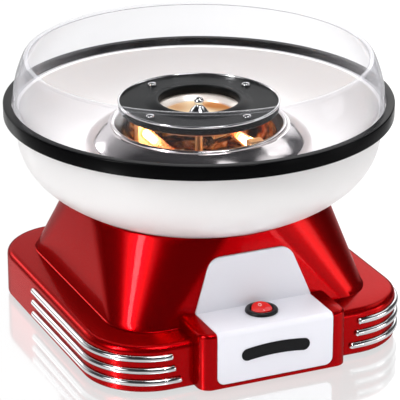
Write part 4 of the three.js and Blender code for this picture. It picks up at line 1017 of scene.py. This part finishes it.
def makeHeadPan():
    floor, sheet, rimZ, hub = head["panFloor"], headPan["sheet"], headPan["rimZ"], headPan["hubRadius"]
    (footRadius, foot), (topRadius, top) = headPan["wellFoot"], headPan["wellTop"]
    well = [(footRadius + (topRadius - footRadius) * t, foot + (top - foot) * t ** headPan["wellFullness"])
            for t in shares(8)]
    upper = [(radius, floor + z) for radius, z in [*headPan["floorLine"], *well, *headPan["rimLine"]]]
    lower = [(headPan["underFrom"] + headPan["underRun"] * t,
              floor - sheet + headPan["underRise"] * t * t * (3 - 2 * t)) for t in shares(10)]
    padTop, hubBottom = floor + headPan["padHeight"], headPan["hubBottom"]
    line = [(0, hubBottom), (hub, hubBottom), (hub, floor - sheet), *lower, (headPan["radius"], rimZ),
            (headPan["radius"], rimZ + sheet), *reversed(upper), (headPan["padRadius"], padTop), (0, padTop)]
    piece = finishMesh("headPan", spunBody(line))
    (halfX, halfY), low = headPan["slotHalf"], hubBottom - overshoot
    bore = cylinderBody(head["shaftRadius"] + seatGap, low, head["shaftTop"] + seatGap, steps=32)
    slot = blockBody(-halfX, halfX, -halfY, halfY, low, headPan["slotTop"])
    cutWith(piece, "DIFFERENCE", [finishMesh("bore", bore), finishMesh("slot", slot),
                                  *screwHoles(2 * floor - rimZ, 2 * rimZ - floor)])
    return dress(piece, warmPan, "head", "polished_aluminium", "head_pan")


knob = {"ball": 3.6, "ballFrom": -0.27, "top": 174.9, "flare": 7.5, "flareEdge": 1.0, "flareCurve": 0.75,
        "neck": 2.6, "neckHeight": 5.8}  # ballFrom in half turns


def makeKnob():
    base, top = head["panFloor"] + headPan["padHeight"] + seatGap, knob["top"]
    ball, neck = knob["ball"], knob["neck"]
    bore, boreTop = head["shaftRadius"] + seatGap, head["shaftTop"] + seatGap
    edge, start = knob["flareEdge"], knob["ballFrom"]
    flare = [(neck + (knob["flare"] - neck) * (1 - t) ** knob["flareCurve"],
              base + edge + (knob["neckHeight"] - edge) * t) for t in shares(12)]
    sphere = [(ball * math.cos(a), top - ball + ball * math.sin(a))
              for a in [math.pi * (start + (0.5 - start) * t) for t in shares(16)[:-1]]]
    line = [(0, boreTop), (bore, boreTop), (bore, base), (knob["flare"], base), *flare, *sphere, (0, top)]
    return dress(finishMesh("chromeKnob", spunBody(line, steps=64), 60), chromePlate, "head", "chrome_trim",
                 "head_knob")


def makeHeadScrews():
    wide, tall, shank = headScrew["headRadius"], headScrew["height"], headScrew["shankRadius"]
    length, rimHeight = headScrew["length"], tall * headScrew["rimShare"]
    crown = [(wide * math.cos(a), rimHeight + (tall - rimHeight) * math.sin(a))
             for a in [t * math.pi / 2 for t in shares(8)[:-1]]]
    recess = [(radius, tall - down) for radius, down in headScrew["recess"]]
    line = [(0, -length), (shank, -length), (shank, 0), (wide, 0), *crown, *recess]
    for number, (x, y, z) in enumerate(screwSpots(), 1):
        bm = spunBody(line, 32, (x, y, z + head["plateTop"] + seatGap))
        dress(finishMesh(f"domeScrew{number}", bm), chromePlate, "head", "chrome_trim",
              f"head_screw_{number}")


makeHeadPlate()
makeHeadRing()
makeHeadPan()
makeKnob()
makeHeadScrews()
print("spinning head made")


# CAD nodes that stay, each with the finish of what it is

kept = {"bottom_cover": blackNylon, "cord_gland": blackNylon, "head_band": zincSteel, "heater_can": zincSteel,
        "motor": zincSteel, "motor_bracket": zincSteel, "motor_shaft": zincSteel, "drive_pin": zincSteel}
for nodeName, cadNode in nodes.items():
    if cadNode.hide_render:
        continue
    finish = kept.get(nodeName)
    if nodeName.startswith("foot_"):
        finish = siliconeRubber
    elif nodeName.startswith("tube_holder"):
        finish = steatite
    elif "screw" in nodeName:
        finish = zincSteel
    cadNode.data.materials.clear()
    cadNode.data.materials.append(finish)
print("CAD nodes dressed")


# Floor, world, lamps and camera

tabletop = {"radius": 8.0, "gloss": 0.1, "mirror": 0.28, "glow": 0.92, "dimFrom": 0.25, "dimTo": 0.9,
            "near": 0.88, "far": 0.08}  # lengths in metres


def makeFloor():
    bm = bmesh.new()
    bmesh.ops.create_circle(bm, cap_ends=True, segments=96, radius=tabletop["radius"])
    mesh = bpy.data.meshes.new("paleFloor")
    bm.to_mesh(mesh)
    bm.free()
    piece = bpy.data.objects.new("paleFloor", mesh)
    scene.collection.objects.link(piece)
    material = bpy.data.materials.new("paleTabletop")
    material.use_nodes = True
    tree = material.node_tree
    tree.nodes.clear()
    output = addNode(tree, "ShaderNodeOutputMaterial")
    rays = addNode(tree, "ShaderNodeLightPath")
    seen = addNode(tree, "ShaderNodeMath", {"operation": "MAXIMUM"},
                   {0: rays.outputs["Is Camera Ray"], 1: rays.outputs["Is Glossy Ray"]})
    seen = addNode(tree, "ShaderNodeMath", {"operation": "MAXIMUM"},
                   {0: seen.outputs[0], 1: rays.outputs["Is Transmission Ray"]})
    share = addNode(tree, "ShaderNodeMath", {"operation": "MULTIPLY", 1: tabletop["glow"]},
                    {0: seen.outputs[0]})
    matt = addNode(tree, "ShaderNodeBsdfDiffuse", {"Color": toLinear("#F2F2F2")})
    # what mirrors show of the floor grows dim away from the machine
    away = addNode(tree, "ShaderNodeVectorMath", {"operation": "LENGTH"},
                   {0: addNode(tree, "ShaderNodeTexCoord").outputs["Object"]})
    dim = addNode(tree, "ShaderNodeMapRange", {
        "From Min": tabletop["dimFrom"], "From Max": tabletop["dimTo"], "To Min": tabletop["near"],
        "To Max": tabletop["far"]}, {"Value": away.outputs["Value"]})
    light = addNode(tree, "ShaderNodeMath", {"operation": "MAXIMUM"},
                    {0: dim.outputs["Result"], 1: rays.outputs["Is Camera Ray"]})
    glow = addNode(tree, "ShaderNodeEmission", {"Color": (1, 1, 1, 1)}, {"Strength": light.outputs[0]})
    lit = addNode(tree, "ShaderNodeMixShader", None, {0: share.outputs[0], 1: matt.outputs[0],
                                                      2: glow.outputs[0]})
    mirror = addNode(tree, "ShaderNodeBsdfGlossy", {"Color": (1, 1, 1, 1), "Roughness": tabletop["gloss"]})
    both = addNode(tree, "ShaderNodeMixShader", {0: tabletop["mirror"]},
                   {1: lit.outputs[0], 2: mirror.outputs[0]})
    tree.links.new(both.outputs[0], output.inputs["Surface"])
    piece.data.materials.append(material)


def directionOf(values):
    # from the machine; azimuth in degrees from the front towards the right
    turn, rise = math.radians(values["azimuth"]), math.radians(values["elevation"])
    return Vector((math.sin(turn) * math.cos(rise), -math.cos(turn) * math.cos(rise), math.sin(rise)))


studio = {"diffuse": 0.49, "white": (1, 1, 1, 1), "room": (0.085, 0.085, 0.09, 1),
          "farEdge": (0.05, 0.05, 0.05, 1), "ceiling": (0.35, 0.35, 0.36, 1)}
glows = {  # soft patches of light that only mirrors show: inner and outer reach in degrees
    "left": {"azimuth": -75, "elevation": 29, "inner": 8, "outer": 23, "light": 1.9},
    "right": {"azimuth": 68, "elevation": 10, "inner": 4, "outer": 13, "light": 2.9},
    "rightFront": {"azimuth": 46, "elevation": 9, "inner": 8, "outer": 24, "light": 1.0},
    "rightHigh": {"azimuth": 88, "elevation": 47, "inner": 4, "outer": 13, "light": 0.9},
    "rearRight": {"azimuth": 142, "elevation": 25, "inner": 6, "outer": 18, "light": 1.0},
    "rear": {"azimuth": -160, "elevation": 22, "inner": 4, "outer": 9, "light": 3.0},
}


def makeWorld():
    world = bpy.data.worlds.new("studio")
    scene.world = world
    world.use_nodes = True
    tree = world.node_tree
    tree.nodes.clear()
    output = addNode(tree, "ShaderNodeOutputWorld")
    rays = addNode(tree, "ShaderNodeLightPath")
    direction = addNode(tree, "ShaderNodeTexCoord")
    parts = addNode(tree, "ShaderNodeSeparateXYZ", None, {0: direction.outputs["Generated"]})
    # white behind the machine and a dim room in front of it, for what the gloss shows
    depth = addNode(tree, "ShaderNodeMapRange", {"From Min": -1.0, "From Max": 1.0}, {0: parts.outputs["Y"]})
    room = addNode(tree, "ShaderNodeValToRGB", {
        "stops": [(0.75, studio["room"]), (0.9, studio["white"])]}, {0: depth.outputs[0]})
    # a thin dark line at the table's far edge and a dim ceiling, which chrome shows
    height = addNode(tree, "ShaderNodeValToRGB", {"stops": [
        (0.08, studio["farEdge"]), (0.11, studio["white"]), (0.42, studio["white"]),
        (0.56, studio["ceiling"])]}, {0: parts.outputs["Z"]})
    around = addNode(tree, "ShaderNodeMixRGB", {"blend_type": "MULTIPLY", 0: 1.0},
                     {1: room.outputs[0], 2: height.outputs[0]})
    for values in glows.values():
        aim = addNode(tree, "ShaderNodeVectorMath", {"operation": "DOT_PRODUCT", 1: directionOf(values)},
                      {0: direction.outputs["Generated"]})
        fade = addNode(tree, "ShaderNodeMapRange", {
            "interpolation_type": "SMOOTHSTEP", "From Min": math.cos(math.radians(values["outer"])),
            "From Max": math.cos(math.radians(values["inner"])), "To Max": values["light"]},
            {"Value": aim.outputs["Value"]})
        around = addNode(tree, "ShaderNodeMixRGB", {"blend_type": "ADD", 0: 1.0},
                         {1: around.outputs[0], 2: fade.outputs["Result"]})
    gloss = addNode(tree, "ShaderNodeBackground", {"Strength": 1.0}, {"Color": around.outputs[0]})
    soft = addNode(tree, "ShaderNodeBackground", {"Color": studio["white"], "Strength": studio["diffuse"]})
    white = addNode(tree, "ShaderNodeBackground", {"Color": studio["white"], "Strength": 1.0})
    plain = addNode(tree, "ShaderNodeMixShader", None, {0: rays.outputs["Is Glossy Ray"], 1: soft.outputs[0],
                                                        2: gloss.outputs[0]})
    seen = addNode(tree, "ShaderNodeMath", {"operation": "MAXIMUM"},
                   {0: rays.outputs["Is Camera Ray"], 1: rays.outputs["Is Transmission Ray"]})
    final = addNode(tree, "ShaderNodeMixShader", None, {0: seen.outputs[0], 1: plain.outputs[0],
                                                        2: white.outputs[0]})
    tree.links.new(final.outputs[0], output.inputs["Surface"])


# Distance and size in metres, power in watts. With mirrored False the gloss doesn't show a lamp, and with
# matt False only the gloss shows it.
lamps = {
    "leftSoftbox": {"azimuth": -72, "elevation": 31, "distance": 1.8, "size": (1.2, 0.9), "power": 7.8,
                    "mirrored": False},
    "leftStrip": {"azimuth": -74, "elevation": 30, "distance": 1.7, "size": (0.2, 0.9), "power": 12.0,
                  "matt": False},
    "lowCard": {"azimuth": 26, "elevation": -2, "distance": 1.2, "size": (0.22, 0.1), "power": 0.32,
                "matt": False},
    "rightSoftbox": {"azimuth": 78, "elevation": 12, "distance": 1.8, "size": (1.0, 0.6), "power": 6.0,
                     "mirrored": False},
    "frontSoftbox": {"azimuth": 10, "elevation": 66, "distance": 1.8, "size": (0.7, 0.7), "power": 7.6},
    "sparkle": {"azimuth": 15, "elevation": 48, "distance": 1.8, "size": (0.1, 0.1), "power": 2.4,
                "matt": False},
    "topSoftbox": {"azimuth": 180, "elevation": 86, "distance": 1.6, "size": (1.2, 1.2), "power": 35.0,
                   "mirrored": False},
    "topPatch": {"azimuth": 56, "elevation": 74, "distance": 1.6, "size": (0.36, 0.36), "power": 0.42},
    "rearPatch": {"azimuth": 110, "elevation": 42, "distance": 1.6, "size": (0.5, 0.5), "power": 1.0},
}
heaterGlow = {"places": ((-33, 18, 143), (33, -20, 143)), "radius": 6.0, "power": 0.04, "colour": "#FFD494"}
aimPoint = Vector((0, 0, 0.1))  # what the lamps and the camera point at


def makeLamps():
    for name, values in lamps.items():
        data = bpy.data.lights.new(name, "AREA")
        data.shape = "RECTANGLE"
        data.size, data.size_y = values["size"]
        data.energy = values["power"]
        lamp = bpy.data.objects.new(name, data)
        lamp.visible_glossy = values.get("mirrored", True)
        lamp.visible_diffuse = values.get("matt", True)
        scene.collection.objects.link(lamp)
        lamp.location = aimPoint + directionOf(values) * values["distance"]
        lamp.rotation_euler = (-directionOf(values)).to_track_quat("-Z", "Y").to_euler()
    for number, place in enumerate(heaterGlow["places"], 1):
        data = bpy.data.lights.new(f"heaterGlow{number}", "POINT")
        data.energy, data.shadow_soft_size = heaterGlow["power"], heaterGlow["radius"] * mm
        data.color = toLinear(heaterGlow["colour"])[:3]
        lamp = bpy.data.objects.new(data.name, data)
        scene.collection.objects.link(lamp)
        lamp.location = Vector(place) * mm


cameraValues = {"distance": 1.88, "azimuth": -23.9, "elevation": 21.7, "lens": 225.0, "sensor": 36.0,
                "shiftX": 0.00275, "shiftY": -0.02325, "near": 0.05, "far": 60.0}


def makeCamera():
    back = directionOf(cameraValues)
    data = bpy.data.cameras.new("photoCamera")
    data.sensor_width, data.lens = cameraValues["sensor"], cameraValues["lens"]
    data.shift_x, data.shift_y = cameraValues["shiftX"], cameraValues["shiftY"]
    data.clip_start, data.clip_end = cameraValues["near"], cameraValues["far"]
    camera = bpy.data.objects.new("photoCamera", data)
    scene.collection.objects.link(camera)
    camera.location = aimPoint + back * cameraValues["distance"]
    camera.rotation_euler = (-back).to_track_quat("-Z", "Y").to_euler()
    scene.camera = camera


makeFloor()
makeWorld()
makeLamps()
makeCamera()
scene.view_settings.view_transform = "Standard"
print("stage made")
